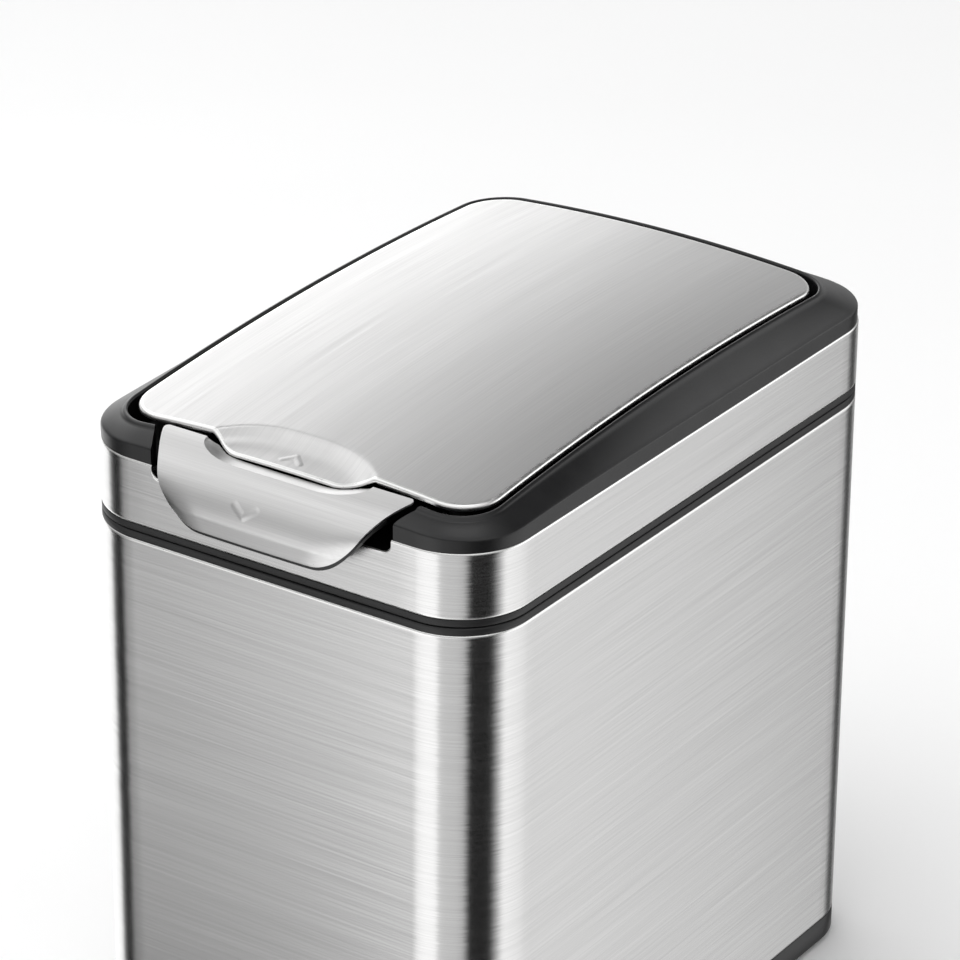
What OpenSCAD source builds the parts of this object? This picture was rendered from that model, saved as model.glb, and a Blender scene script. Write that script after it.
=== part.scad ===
// Countertop bin with a push plate, a hinged steel lid, a lift-off head and a lift-out bucket.
// Origin: centre of the whole footprint, push plate included, on the floor.
// +X is the bin's right, -Y its front, +Z up.

/* [Body] */
// Width of the steel body, side to side
body_w = 180; // [170:1:200]
// Depth of the steel body, front to back
body_d = 272; // [262:1:300]
// Height of the steel sleeve's top edge above the floor
body_h = 237; // [200:1:280]
// Radius of the body's upright corners
corner_r = 28; // [24:0.5:32]
// Thickness of the steel sheet of the sleeve, the band, the lid and the push plate
sheet_t = 0.8; // [0.6:0.05:1]
// Height of each of the two black trim rings
trim_h = 3.05; // [2.5:0.05:4]
// Height of the steel band round the head
band_h = 25.3; // [24:0.1:32]

/* [Base] */
// Height at which the base stands above the floor
foot_stand = 2; // [1.5:0.1:3]
// Radius of a rubber foot
foot_r = 10; // [7:0.5:12]
// Visible height of the black base
base_h = 10; // [9:0.5:16]
// Thickness of the base's plate
base_plate_t = 3.5; // [3:0.1:4.5]
// Width of the flange folded in at the foot of the sleeve
flange_w = 12; // [11:0.5:14]

/* [Bucket] */
// Distance from the bucket's rim up to the sleeve's top edge
bucket_drop = 15; // [13:1:60]
// Thickness of the bucket's walls
bucket_t = 2; // [1.6:0.1:2.6]
// How much narrower the bucket is than the body on each side, at its foot
bucket_foot_inset = 17; // [15:0.5:22]
// The same just below its rim
bucket_top_inset = 8; // [7:0.5:12]
// Length of the straight part of a finger slot
slot_l = 60; // [50:1:80]
// Height of a finger slot
slot_h = 12; // [10:0.5:16]
// Distance from the rim's underside down to a finger slot
slot_drop = 8; // [6:0.5:20]

/* [Head] */
// Width of the bezel beside the lid's recess, at the sides
rim_side = 10.5; // [9.5:0.1:12]
// The same at the front
rim_front = 9.7; // [9:0.1:11]
// The same at the rear
rim_rear = 20.6; // [20:0.1:24]
// Corner radius of the recess
rim_r = 17.1; // [15:0.1:20]
// Height of the bezel's upright strip along the sides
strip_h = 6.65; // [6:0.05:7.5]
// Thickness of the plastic walls
wall_t = 2; // [1.8:0.1:2.2]
// Thickness of the deck below the lid
deck_t = 2.5; // [2:0.1:3]
// Depth of the deck below the band's top edge
deck_drop = 3; // [2.5:0.1:4]
// Width of the throat that rubbish goes through
throat_w = 130; // [100:1:136]
// Depth of the throat, front to back
throat_d = 172; // [140:1:174]
// Height of the chute that hangs below the deck round the throat
chute_h = 16; // [10:0.5:17]

/* [Lid] */
// Gap between the lid and the recess at the sides
lid_gap_side = 2.5; // [2:0.1:3.5]
// The same at the front
lid_gap_front = 4.6; // [4.2:0.1:5.5]
// The same at the rear
lid_gap_rear = 3.7; // [3.5:0.1:4.5]
// Corner radius of the lid
lid_r = 16.4; // [14:0.1:19]
// Height of the lid's edge line above the band's top edge, halfway along the sides
lid_rise = 13; // [12.5:0.1:14]
// How much higher the lid's rear edge is than its front edge
lid_tilt = 5.7; // [5:0.1:6.5]
// How much the lid arches from front to back
arch_long = 4.7; // [3.5:0.1:6]
// How much the lid arches from side to side
arch_cross = 3.9; // [3:0.1:5]
// Height of the lid's folded edge
fold_h = 2.2; // [1.8:0.1:2.4]
// How far the finger lip reaches in front of the lid
lip_reach = 5.9; // [5:0.1:6.5]
// How far the finger lip's tip dips
lip_dip = 3.7; // [3:0.1:4.2]
// Half the width of the finger lip at its root
lip_half = 36; // [32:0.5:37]
// Half the width of its straight tip
lip_tip_half = 21; // [16:0.5:24]
// Length of the scooped thumb rest behind the lip's tip
scoop_l = 18.6; // [14:0.1:22]
// Thickness of the plastic liner under the lid
liner_t = 2; // [1.6:0.1:2.4]

/* [Hinge and damper] */
// Radius of the hinge pin
pin_r = 1.4; // [1.2:0.05:1.5]
// Radial clearance of a pin in its bore
pin_fit = 0.05; // [0.02:0.01:0.08]
// Radius of a hinge knuckle
knuckle_r = 2.6; // [2.4:0.05:2.7]
// Distance of each hinge from the lid's middle
hinge_x = 34; // [32:0.5:38]
// Width of a hinge arm
arm_w = 12; // [10:0.5:14]
// Teeth on a whole turn of the damper's sector gear
sector_teeth = 16; // [16:1:16]
// Teeth on the damper's pinion
pinion_teeth = 10; // [10:1:10]
// Pitch diameter of a gear divided by its number of teeth
gear_module = 0.8; // [0.78:0.01:0.82]
// Thickness of the gears
gear_t = 3; // [2:0.1:4]

/* [Push plate] */
// How far the push plate stands in front of the body
plate_reach = 11.4; // [10.5:0.1:13]
// Half the plate's width at its top edge
plate_half = 55; // [52:0.5:56]
// Height of the plate's top edge above the band's top edge
plate_top = 11.2; // [10.8:0.1:11.6]
// Depth of the plate's bottom edge below the band's top edge
plate_bottom = 13.6; // [12:0.1:15]
// How much the plate narrows on each side for each millimetre down its face
plate_taper = 0.49; // [0.4:0.01:0.55]
// Radius of the plate's lower corners
plate_corner_r = 14; // [10:0.5:16]
// Depth of the finger recess, from the body's front face to its front edge
recess_front = 3.8; // [3.4:0.1:4.2]
// Height of the finger recess's floor above the band's top edge
recess_floor = 3.6; // [3.4:0.1:3.8]
// Depth of the notch in the band below its top edge
notch_depth = 5; // [5:0.1:6]
// Radius of the lever's pivot pin
lever_pin_r = 2; // [1.6:0.1:2.2]

/* [Hidden] */
$fn = 48;
// Running and seating clearances
gap = 0.3;
seat = 0.1;
hole_fit = 0.05;

// Levels
base_z = foot_stand;
sleeve_z = foot_stand + base_h;
seam_z = body_h + trim_h;
band_z = seam_z + trim_h;
top_z = band_z + band_h;
deck_z = top_z - deck_drop;
front_y = -body_d / 2;

// Rings that nest in one another
ring_skirt_h = 14;
ring_skirt_out = sheet_t + seat;
ring_skirt_in = ring_skirt_out + 1.65;
head_skirt_out = ring_skirt_in + 0.35;
head_skirt_in = head_skirt_out + wall_t;
frame_skirt_out = sheet_t + 2 * seat;
frame_skirt_in = frame_skirt_out + wall_t;
bezel_inset = 0.5;

// The lid's recess and the lid
rim_w = body_w - 2 * rim_side;
rim_l = body_d - rim_front - rim_rear;
rim_cy = (rim_front - rim_rear) / 2;
rim_top_gap = 0.6;
lid_w = rim_w - 2 * lid_gap_side;
lid_front = front_y + rim_front + lid_gap_front;
lid_rear = body_d / 2 - rim_rear - lid_gap_rear;
lid_l = lid_rear - lid_front;
lid_cy = (lid_front + lid_rear) / 2;
lip_y = lid_front - lip_reach;

// The hinge pin lies just inside the lid's rear edge
pin_y = lid_rear - 3.6;
pin_z = top_z + lid_z_at_rear() - 4.85;
arm_t = 2;
arm_z = pin_z - knuckle_r - 0.2;
arm_front = pin_y - 31;
ear_t = 3;
ear_back = 1.3;
screw_r = 1.25;
screw_head_r = 2.2;
screw_head_h = 1.6;
boss_r = 2.7;

// The damper's gears mesh below and in front of the hinge pin
sector_r = gear_module * sector_teeth / 2;
pinion_r = gear_module * pinion_teeth / 2;
mesh_angle = 225;
pinion_y = pin_y + (sector_r + pinion_r) * cos(mesh_angle);
pinion_z = pin_z + (sector_r + pinion_r) * sin(mesh_angle);
tooth_out = 0.72 * gear_module;
tooth_in = 0.95 * gear_module;
damper_r = 6;
damper_l = 10;
shaft_r = 1.5;

// The push plate's face, from its top edge down
plate_y = front_y + 12;
crease_y = front_y - plate_reach + 0.4;
crease_z = -7.5;
plate_pull_y = crease_y + 3.5;
plate_pull_z = 7.5;
plate_rows = 12;
plate_cols = 28;
recess_half = 17;

// The lever, its well in the frame and its pivot
pivot_y = front_y + 32;
pivot_z = top_z - 4;
well_half = 53;
well_floor = top_z - 12;
well_rear = front_y + 42;
lever_bracket_t = 4;
lever_bracket_x = well_half - lever_bracket_t - 2;
lever_half = lever_bracket_x - 3;
lever_front = front_y - 4.2;
lever_t = 2.4;
lever_arm_t = 6;
lever_arm_x = lever_half - lever_arm_t;
magnet_r = 5;
magnet_h = 3;
magnet_y = pivot_y - 7;
magnet_top = top_z + 8.4;
striker_t = 1.2;
striker_z = magnet_top + 0.4;
spring_x = 28;
spring_y = front_y + 15;

// Points along the outlines that the curved shells share
front_n = 30;
rear_n = 10;
side_n = 12;
corner_n = 8;

steel = [0.76, 0.76, 0.75];
black = [0.13, 0.13, 0.14];
rubber = [0.07, 0.07, 0.07];
zinc = [0.62, 0.63, 0.65];

// Small helpers

function lerp(a, b, t) = a + (b - a) * t;

function clamp01(t) = max(0, min(1, t));

function smooth(t) = let (c = clamp01(t)) c * c * (3 - 2 * c);

function flat(lists) = [for (a = lists) for (b = a) b];

function unit(v) = v / norm(v);

function arc(cx, cy, r, a0) = [
    for (i = [0 : corner_n - 1])
        [cx + r * cos(a0 + 90 * i / corner_n), cy + r * sin(a0 + 90 * i / corner_n)]
];

function run(p, q, n) = [for (i = [0 : n - 1]) lerp(p, q, i / n)];

// Rounded rectangle as points, anticlockwise from the front edge's left end
function outline(w, l, cy, r) =
    let (hx = w / 2 - r, hy = l / 2 - r, fy = cy - l / 2, ry = cy + l / 2)
    concat(
        run([-hx, fy], [hx, fy], front_n),
        arc(hx, cy - hy, r, -90),
        run([w / 2, cy - hy], [w / 2, cy + hy], side_n),
        arc(hx, cy + hy, r, 0),
        run([hx, ry], [-hx, ry], rear_n),
        arc(-hx, cy + hy, r, 90),
        run([-w / 2, cy + hy], [-w / 2, cy - hy], side_n),
        arc(-hx, cy - hy, r, 180)
    );

function body_outline(inset) = outline(body_w - 2 * inset, body_d - 2 * inset, 0, corner_r - inset);

function rim_outline(inset) = outline(rim_w - 2 * inset, rim_l - 2 * inset, rim_cy, rim_r - inset);

// Triangles between rings of n points each; a loop joins the last ring to the first
function wall_faces(m, n, loop) = [
    for (k = [0 : (loop ? m - 1 : m - 2)])
        for (i = [0 : n - 1])
            let (
                a = k * n + i,
                b = ((k + 1) % m) * n + i,
                c = ((k + 1) % m) * n + (i + 1) % n,
                d = k * n + (i + 1) % n
            )
            each [[a, b, c], [a, c, d]]
];

function mean(points) = [for (k = [0 : 2]) [for (p = points) p[k]] * [for (p = points) 1] / len(points)];

// Rings joined into a tube that closes on itself
module ring_loop(rings) {
    polyhedron(points = flat(rings), faces = wall_faces(len(rings), len(rings[0]), true));
}

// Rings joined into a solid with a fan of triangles over its first and its last ring
module ring_solid(rings) {
    m = len(rings);
    n = len(rings[0]);
    ends = [mean(rings[0]), mean(rings[m - 1])];
    fans = [
        for (i = [0 : n - 1])
            each [
                [m * n, i, (i + 1) % n],
                [m * n + 1, (m - 1) * n + (i + 1) % n, (m - 1) * n + i]
            ]
    ];
    polyhedron(points = concat(flat(rings), ends), faces = concat(wall_faces(m, n, false), fans));
}

// Tube of six sides along a path whose turns lie across the given axis
module tube(path, r, axis) {
    last = len(path) - 1;
    ring_solid([
        for (i = [0 : last])
            let (
                along = unit(path[min(i + 1, last)] - path[max(i - 1, 0)]),
                side = unit(cross(along, axis)),
                other = cross(along, side)
            )
            [for (k = [0 : 5]) path[i] + r * (cos(60 * k) * side + sin(60 * k) * other)]
    ]);
}

// Least gap between turns of a wire, on the points of its path
function least_gap(path, wire_r) = min([
    for (i = [0 : len(path) - 7])
        for (j = [i + 6 : len(path) - 1])
            norm(path[i] - path[j])
]) - 2 * wire_r;

module rounded_rect(w, l, r) {
    square([w - 2 * r, l], center = true);
    square([w, l - 2 * r], center = true);
    for (sx = [-1, 1]) {
        for (sy = [-1, 1]) {
            translate([sx * (w / 2 - r), sy * (l / 2 - r)])
                circle(r);
        }
    }
}

// Slab with the body's outline drawn in by an inset
module body_slab(inset, z0, z1) {
    translate([0, 0, z0])
        linear_extrude(z1 - z0)
            rounded_rect(body_w - 2 * inset, body_d - 2 * inset, corner_r - inset);
}

// Ring with the body's outline, between two insets
module body_ring(outer, inner, z0, z1) {
    difference() {
        body_slab(outer, z0, z1);
        body_slab(inner, z0 - 1, z1 + 1);
    }
}

module box_between(p, q) {
    translate(p)
        cube(q - p);
}

// Cylinder that lies along X
module rod_x(x0, x1, y, z, r) {
    translate([x0, y, z])
        rotate([0, 90, 0])
            cylinder(h = x1 - x0, r = r);
}

// Outline in the Y-Z plane, given thickness along X
module plate_x(x0, x1) {
    translate([x0, 0, 0])
        rotate([90, 0, 90])
            linear_extrude(x1 - x0)
                children();
}

// Screw that points along +Z from the underside of its head
module screw_up(x, y, z, shank, r = screw_r) {
    translate([x, y, z - screw_head_h])
        difference() {
            union() {
                cylinder(h = screw_head_h, r = screw_head_r);
                cylinder(h = screw_head_h + shank, r = r);
            }
            translate([0, 0, -0.5])
                cylinder(h = 1.5, r = 1.1, $fn = 6);
        }
}

module screw_down(x, y, z, shank, r = screw_r) {
    translate([x, y, z])
        mirror([0, 0, 1])
            screw_up(0, 0, 0, shank, r);
}

// Base

base_screw_places = [for (sx = [-1, 1]) for (sy = [-1, 1]) [sx * (body_w / 2 - 7), sy * body_d / 4]];
foot_place = [body_w / 2 - 28, body_d / 2 - 28];
foot_depth = foot_stand + 1.5;
foot_stem_r = 3;
foot_stem_h = 4;
base_under = sleeve_z - base_plate_t;
base_screw_r = 2;

module base_tray() {
    color(black)
        difference() {
            union() {
                body_slab(0, base_under, sleeve_z);
                body_ring(0, 3, base_z, sleeve_z);
                for (sx = [-1, 1]) {
                    for (sy = [-1, 1]) {
                        translate([sx * foot_place.x, sy * foot_place.y, base_z])
                            cylinder(h = base_h - 1, r = foot_r + wall_t);
                    }
                }
            }
            for (sx = [-1, 1]) {
                for (sy = [-1, 1]) {
                    translate([sx * foot_place.x, sy * foot_place.y, 0]) {
                        cylinder(h = foot_depth, r = foot_r + seat);
                        cylinder(h = foot_depth + foot_stem_h + gap, r = foot_stem_r + seat);
                    }
                }
            }
            for (p = base_screw_places) {
                translate([p.x, p.y, base_under - 1])
                    cylinder(h = base_plate_t + 2, r = base_screw_r + hole_fit);
            }
        }
}

module foot(sx, sy) {
    color(rubber)
        translate([sx * foot_place.x, sy * foot_place.y, 0]) {
            cylinder(h = 1, r1 = foot_r - 1, r2 = foot_r);
            translate([0, 0, 1])
                cylinder(h = foot_depth - 1, r = foot_r);
            cylinder(h = foot_depth + foot_stem_h, r = foot_stem_r);
        }
}

module base_screws() {
    color(zinc)
        for (p = base_screw_places) {
            screw_up(p.x, p.y, base_under, base_plate_t + sheet_t + 3, base_screw_r);
        }
}

module clinch_nuts() {
    color(zinc)
        for (p = base_screw_places) {
            translate([p.x, p.y, sleeve_z + sheet_t])
                difference() {
                    cylinder(h = 3, r = 3.6, $fn = 6);
                    translate([0, 0, -1])
                        cylinder(h = 5, r = base_screw_r + hole_fit);
                }
        }
}

// Body

module body_sleeve() {
    color(steel)
        difference() {
            union() {
                body_ring(0, sheet_t, sleeve_z, body_h);
                body_ring(sheet_t / 2, sheet_t + flange_w, sleeve_z, sleeve_z + sheet_t);
            }
            for (p = base_screw_places) {
                translate([p.x, p.y, sleeve_z - 1])
                    cylinder(h = 3, r = base_screw_r + hole_fit);
            }
        }
}

module sleeve_top_ring() {
    color(black)
        union() {
            body_ring(0, ring_skirt_in, body_h, seam_z);
            body_ring(ring_skirt_out, ring_skirt_in, body_h - ring_skirt_h, seam_z - 1);
        }
}

// Bucket

function bucket_ring(inset, z) = [for (p = body_outline(inset)) [p.x, p.y, z]];

module inner_bucket() {
    top = body_h - bucket_drop;
    rim_h = 3;
    slot_z = top - rim_h - slot_drop - slot_h / 2;
    color([0.2, 0.2, 0.21])
        difference() {
            ring_solid([
                bucket_ring(bucket_foot_inset, sleeve_z),
                bucket_ring(bucket_top_inset, top - rim_h),
                bucket_ring(bucket_top_inset - 3, top - rim_h),
                bucket_ring(bucket_top_inset - 3, top - 0.6),
                bucket_ring(bucket_top_inset - 2.4, top),
                bucket_ring(bucket_top_inset + bucket_t, top),
                bucket_ring(bucket_foot_inset + bucket_t, sleeve_z + bucket_t)
            ]);
            for (side = [-1, 1]) {
                translate([side * body_w / 2, 0, slot_z]) {
                    cube([40, slot_l, slot_h], center = true);
                    for (end = [-1, 1]) {
                        translate([0, end * slot_l / 2, 0])
                            rotate([0, 90, 0])
                                cylinder(h = 40, r = slot_h / 2, center = true);
                    }
                }
            }
        }
}

// Head: rings, band and frame

head_screw_inset = 7.6;
head_screw_side = body_w / 2 - head_screw_inset;
head_screw_end = body_d / 2 - head_screw_inset;
// Place of each head screw and how far its boss rises above the band's top edge
head_screw_places = [
    for (sx = [-1, 1])
        each [
            [sx * head_screw_side, -body_d / 4, 2],
            [sx * head_screw_side, body_d / 4, 2],
            [sx * (plate_half + 5), -head_screw_end, 2],
            [sx * (hinge_x + 16), head_screw_end, 9]
        ]
];
head_screw_shank = 12;

module head_bottom_ring() {
    color(black)
        difference() {
            union() {
                body_ring(0, 16, seam_z, band_z);
                body_ring(head_skirt_out, head_skirt_in, seam_z - 11, seam_z + 1);
            }
            for (p = head_screw_places) {
                translate([p.x, p.y, seam_z - 1])
                    cylinder(h = trim_h + 2, r = screw_r + hole_fit);
            }
        }
}

// Plan of the pocket that the push plate works in
module pocket_plan() {
    polygon([
        [-plate_half - 3.5, lid_front - 2.3],
        [plate_half + 3.5, lid_front - 2.3],
        [well_half - 1, front_y - 0.5],
        [well_half - 1, front_y - 5],
        [1 - well_half, front_y - 5],
        [1 - well_half, front_y - 0.5]
    ]);
}

module head_band() {
    notch_r = 4;
    color(steel)
        difference() {
            body_ring(0, sheet_t, band_z, top_z);
            box_between([1 - well_half, front_y - 1, top_z - notch_depth + notch_r],
                [well_half - 1, front_y + 3, top_z + 1]);
            box_between([1 - well_half + notch_r, front_y - 1, top_z - notch_depth],
                [well_half - 1 - notch_r, front_y + 3, top_z + 1]);
            for (side = [-1, 1]) {
                translate([side * (well_half - 1 - notch_r), front_y + 3, top_z - notch_depth + notch_r])
                    rotate([90, 0, 0])
                        cylinder(h = 4, r = notch_r);
            }
        }
}

// Height of the lid's surface above the band's top edge, without its finger scoop
function lid_dome(x, y) =
    let (v = (y - lid_cy) / lid_l)
    lid_rise + lid_tilt * v + arch_long * (1 - 4 * v * v) + arch_cross * (1 - pow(2 * x / lid_w, 2));

function lid_z_at_rear() = lid_rise + lid_tilt / 2 + arch_cross;

// Height of the upright strip: lower round the corners, most at the front
function strip_at(p) =
    strip_h - (p.y < 0 ? 2.9 : 1.0) * pow(abs(p.x) / (body_w / 2) * abs(p.y) / (body_d / 2), 4);

function rim_at(p) = lid_dome(p.x, p.y) - rim_top_gap;

function frame_side_ring(inset, drop) = [
    for (p = body_outline(inset)) [p.x, p.y, top_z + strip_at(p) - drop]
];

function frame_flat_ring(inset, z) = [for (p = body_outline(inset)) [p.x, p.y, z]];

function rim_ring(inset, drop) = [for (p = rim_outline(inset)) [p.x, p.y, top_z + rim_at(p) - drop]];

function rim_flat_ring(inset, z) = [for (p = rim_outline(inset)) [p.x, p.y, z]];

recess_wall_in = 0.7;
recess_wall_out = wall_t - recess_wall_in;

// Moulded shell: skirt inside the band, upright strip, slope, rounded rim and recess wall
module frame_shell() {
    ring_loop([
        frame_flat_ring(bezel_inset, top_z),
        frame_side_ring(bezel_inset, 0.6),
        frame_side_ring(bezel_inset + 0.6, 0),
        rim_ring(-1.6, 1.1),
        rim_ring(-0.9, 0.15),
        rim_ring(0, 0),
        rim_ring(recess_wall_in, 0.6),
        rim_flat_ring(recess_wall_in, deck_z - deck_t),
        rim_flat_ring(-recess_wall_out, deck_z - deck_t),
        rim_ring(-recess_wall_out, 3),
        frame_side_ring(frame_skirt_in, 2.4),
        frame_flat_ring(frame_skirt_in, band_z),
        frame_flat_ring(frame_skirt_out, band_z),
        frame_flat_ring(frame_skirt_out, top_z)
    ]);
}

bumper_place = [lid_w / 2 - 15, lid_front + 13.7];
bumper_r = 3.2;
bumper_z = top_z + 5.5;
bumper_stem_r = 1.5;
bumper_stem_h = 3;
lid_under = sheet_t + gap + liner_t;
throat_front = well_rear + wall_t + 4;
bracket_foot_t = 2.5;
hinge_screw_y = [pin_y - 12, pin_y - 4.5];
lever_screw_y = pivot_y - 8.5;
damper_x = -0.6;
damper_screw_y = [pinion_y - 9, pinion_y + 9];
damper_foot_t = 2.2;
deck_screw_l = 8;

// Screws that come down into the deck: the hinge brackets' and the damper's
deck_screw_places = concat(
    [for (sx = [-1, 1]) for (y = hinge_screw_y) [sx * hinge_x, y]],
    [for (y = damper_screw_y) [damper_x - damper_l / 2, y]]
);

module deck_boss(x, y) {
    translate([x, y, deck_z - deck_screw_l])
        cylinder(h = deck_screw_l - 1, r = boss_r + 0.3);
}

module top_frame() {
    color(black)
        difference() {
            union() {
                frame_shell();
                translate([0, rim_cy, deck_z - deck_t])
                    linear_extrude(deck_t)
                        rounded_rect(rim_w + 0.6, rim_l + 0.6, rim_r + 0.3);
                box_between([-well_half - wall_t, front_y + frame_skirt_in - 1, well_floor - wall_t],
                    [well_half + wall_t, well_rear + wall_t, deck_z]);
                box_between([-throat_w / 2 - wall_t, throat_front - wall_t, deck_z - chute_h],
                    [throat_w / 2 + wall_t, throat_front + throat_d + wall_t, deck_z]);
                for (p = head_screw_places) {
                    translate([p.x, p.y, band_z])
                        cylinder(h = band_h + p.z, r = boss_r);
                }
                for (p = deck_screw_places) {
                    deck_boss(p.x, p.y);
                }
                for (sx = [-1, 1]) {
                    translate([sx * bumper_place.x, bumper_place.y, deck_z - 1])
                        cylinder(h = bumper_z - deck_z + 1, r = bumper_r + 1);
                    translate([sx * spring_x, spring_y, well_floor - 1])
                        cylinder(h = 5, r = 1.9);
                }
            }
            translate([0, 0, top_z - notch_depth])
                linear_extrude(band_h)
                    pocket_plan();
            difference() {
                box_between([-well_half, front_y + frame_skirt_in, well_floor],
                    [well_half, well_rear, deck_z + 1]);
                for (sx = [-1, 1]) {
                    translate([sx * spring_x, spring_y, well_floor - 1])
                        cylinder(h = 5, r = 1.9);
                }
            }
            box_between([-throat_w / 2, throat_front, deck_z - chute_h - 1],
                [throat_w / 2, throat_front + throat_d, deck_z + 1]);
            for (p = head_screw_places) {
                translate([p.x, p.y, band_z - 1])
                    cylinder(h = head_screw_shank, r = screw_r + hole_fit);
            }
            for (p = deck_screw_places) {
                translate([p.x, p.y, deck_z - deck_screw_l + 1])
                    cylinder(h = deck_screw_l, r = screw_r + hole_fit);
            }
            for (sx = [-1, 1]) {
                translate([sx * bumper_place.x, bumper_place.y, bumper_z - bumper_stem_h - gap])
                    cylinder(h = bumper_stem_h + 1, r = bumper_stem_r + hole_fit);
                translate([sx * (lever_bracket_x + lever_bracket_t / 2), lever_screw_y, well_floor - 3])
                    cylinder(h = 4, r = screw_r + hole_fit);
            }
        }
}

module head_screws() {
    color(zinc)
        for (p = head_screw_places) {
            screw_up(p.x, p.y, seam_z, trim_h + head_screw_shank - 2);
        }
}

module lid_bumper(sx) {
    // The liner is lowest over the bumper's outer front side
    liner_z = top_z + lid_dome(bumper_place.x + bumper_r, bumper_place.y - bumper_r) - lid_under;
    color(rubber)
        translate([sx * bumper_place.x, bumper_place.y, bumper_z]) {
            cylinder(h = liner_z - gap - bumper_z, r = bumper_r);
            translate([0, 0, -bumper_stem_h])
                cylinder(h = bumper_stem_h + 1, r = bumper_stem_r);
        }
}

// Hinge

ear_in = hinge_x - arm_w / 2 - 0.5;
ear_out = hinge_x + arm_w / 2 + 0.5;

module ear_plan() {
    difference() {
        union() {
            polygon([
                [pin_y - 11, deck_z],
                [pin_y + ear_back, deck_z],
                [pin_y + ear_back, pin_z],
                [pin_y - 2.3, pin_z + 0.8]
            ]);
            translate([pin_y, pin_z])
                circle(knuckle_r);
        }
        translate([pin_y, pin_z])
            circle(pin_r + pin_fit);
    }
}

module hinge_bracket(sx) {
    color(zinc)
        scale([sx, 1, 1])
            difference() {
                union() {
                    plate_x(ear_in - ear_t, ear_in)
                        ear_plan();
                    plate_x(ear_out, ear_out + ear_t)
                        ear_plan();
                    box_between([ear_in - ear_t, pin_y - 17, deck_z],
                        [ear_out + ear_t, pin_y + ear_back, deck_z + bracket_foot_t]);
                }
                for (y = hinge_screw_y) {
                    translate([hinge_x, y, deck_z - 1])
                        cylinder(h = bracket_foot_t + 2, r = screw_r + hole_fit);
                }
            }
}

module bracket_screws() {
    color(zinc)
        for (sx = [-1, 1]) {
            for (y = hinge_screw_y) {
                screw_down(sx * hinge_x, y, deck_z + bracket_foot_t, deck_screw_l + 1);
            }
        }
}

module hinge_pin() {
    half = ear_out + ear_t + 1.2;
    color(zinc)
        rod_x(-half, half, pin_y, pin_z, pin_r);
}

// Coil round the hinge pin, with one leg towards the deck and one under the lid's liner
coil_wire_r = 0.35;
coil_r = 2.25;
coil_pitch = 1.2;
coil_turns = 6;

function coil_point(a, x) = [x, pin_y + coil_r * cos(a), pin_z + coil_r * sin(a)];

// The last turn stops on the coil's front side, where the leg to the deck leaves it
coil_last = 8 * coil_turns + 6;
coil_end = coil_point(180, coil_pitch * coil_last / 8);
leg_z = deck_z + coil_wire_r + 0.05;

hinge_coil = concat(
    [for (leg = [[-12, 3.8], [-6, 1.1], [-2.5, 0.1]]) coil_point(-90, 0) + [0, leg[0], leg[1]]],
    [for (i = [0 : coil_last]) coil_point(-90 + 45 * i, coil_pitch * i / 8)],
    [[coil_end.x, coil_end.y, lerp(coil_end.z, leg_z, 0.5)], [coil_end.x, coil_end.y, leg_z]]
);

module hinge_spring(sx) {
    color(zinc)
        scale([sx, 1, 1])
            translate([ear_in - ear_t - 1 - coil_end.x, 0, 0])
                tube(hinge_coil, coil_wire_r, [1, 0, 0]);
}

// Damper

// Gear outline centred on the origin, with a tooth at angle zero
module gear_plan(teeth, pitch_r) {
    step = 360 / teeth;
    root = pitch_r - tooth_in;
    tip = pitch_r + tooth_out;
    flank = [[-0.36, root], [-0.2, pitch_r], [-0.09, tip], [0.09, tip], [0.2, pitch_r], [0.36, root]];
    polygon([
        for (i = [0 : teeth - 1])
            each [
                for (c = flank)
                    [c[1] * cos(step * (i + c[0])), c[1] * sin(step * (i + c[0]))]
            ]
    ]);
}

module damper_sector() {
    step = 360 / sector_teeth;
    foot_z = arm_z;
    color(black)
        difference() {
            union() {
                plate_x(0, gear_t) {
                    translate([pin_y, pin_z]) {
                        intersection() {
                            rotate(mesh_angle)
                                gear_plan(sector_teeth, sector_r);
                            polygon([
                                [0, 0],
                                12 * [cos(mesh_angle - step / 2), sin(mesh_angle - step / 2)],
                                12 * [cos(270), sin(270)],
                                12 * [cos(mesh_angle + 4 * step), sin(mesh_angle + 4 * step)]
                            ]);
                        }
                        circle(knuckle_r);
                    }
                    polygon([
                        [pin_y, pin_z - knuckle_r + 0.2],
                        [pin_y - 17, foot_z],
                        [pin_y - 17, foot_z + arm_t],
                        [pin_y - 1, pin_z + knuckle_r - 0.4]
                    ]);
                }
                box_between([-6, pin_y - 27, foot_z], [6, pin_y - 16, foot_z + arm_t]);
            }
            rod_x(-1, gear_t + 1, pin_y, pin_z, pin_r + pin_fit);
            translate([0, pin_y - 21.5, foot_z - 1])
                cylinder(h = arm_t + 2, r = screw_r + hole_fit);
        }
}

module damper_pinion() {
    color([0.75, 0.74, 0.7])
        union() {
            plate_x(0, gear_t)
                translate([pinion_y, pinion_z])
                    rotate(mesh_angle + 180 + 180 / pinion_teeth)
                        gear_plan(pinion_teeth, pinion_r);
            rod_x(damper_x - damper_l + 2, 1, pinion_y, pinion_z, shaft_r);
        }
}

module damper_housing() {
    x0 = damper_x - damper_l;
    color(black)
        difference() {
            union() {
                rod_x(x0, damper_x, pinion_y, pinion_z, damper_r);
                box_between([x0, pinion_y - damper_r + 0.5, deck_z],
                    [damper_x, pinion_y + damper_r - 0.5, pinion_z]);
                box_between([x0, damper_screw_y[0] - 3, deck_z],
                    [damper_x, damper_screw_y[1] + 2.6, deck_z + damper_foot_t]);
            }
            rod_x(x0 + 1.5, damper_x + 1, pinion_y, pinion_z, shaft_r + pin_fit);
            for (y = damper_screw_y) {
                translate([damper_x - damper_l / 2, y, deck_z - 1])
                    cylinder(h = damper_foot_t + 2, r = screw_r + hole_fit);
            }
        }
}

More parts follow.
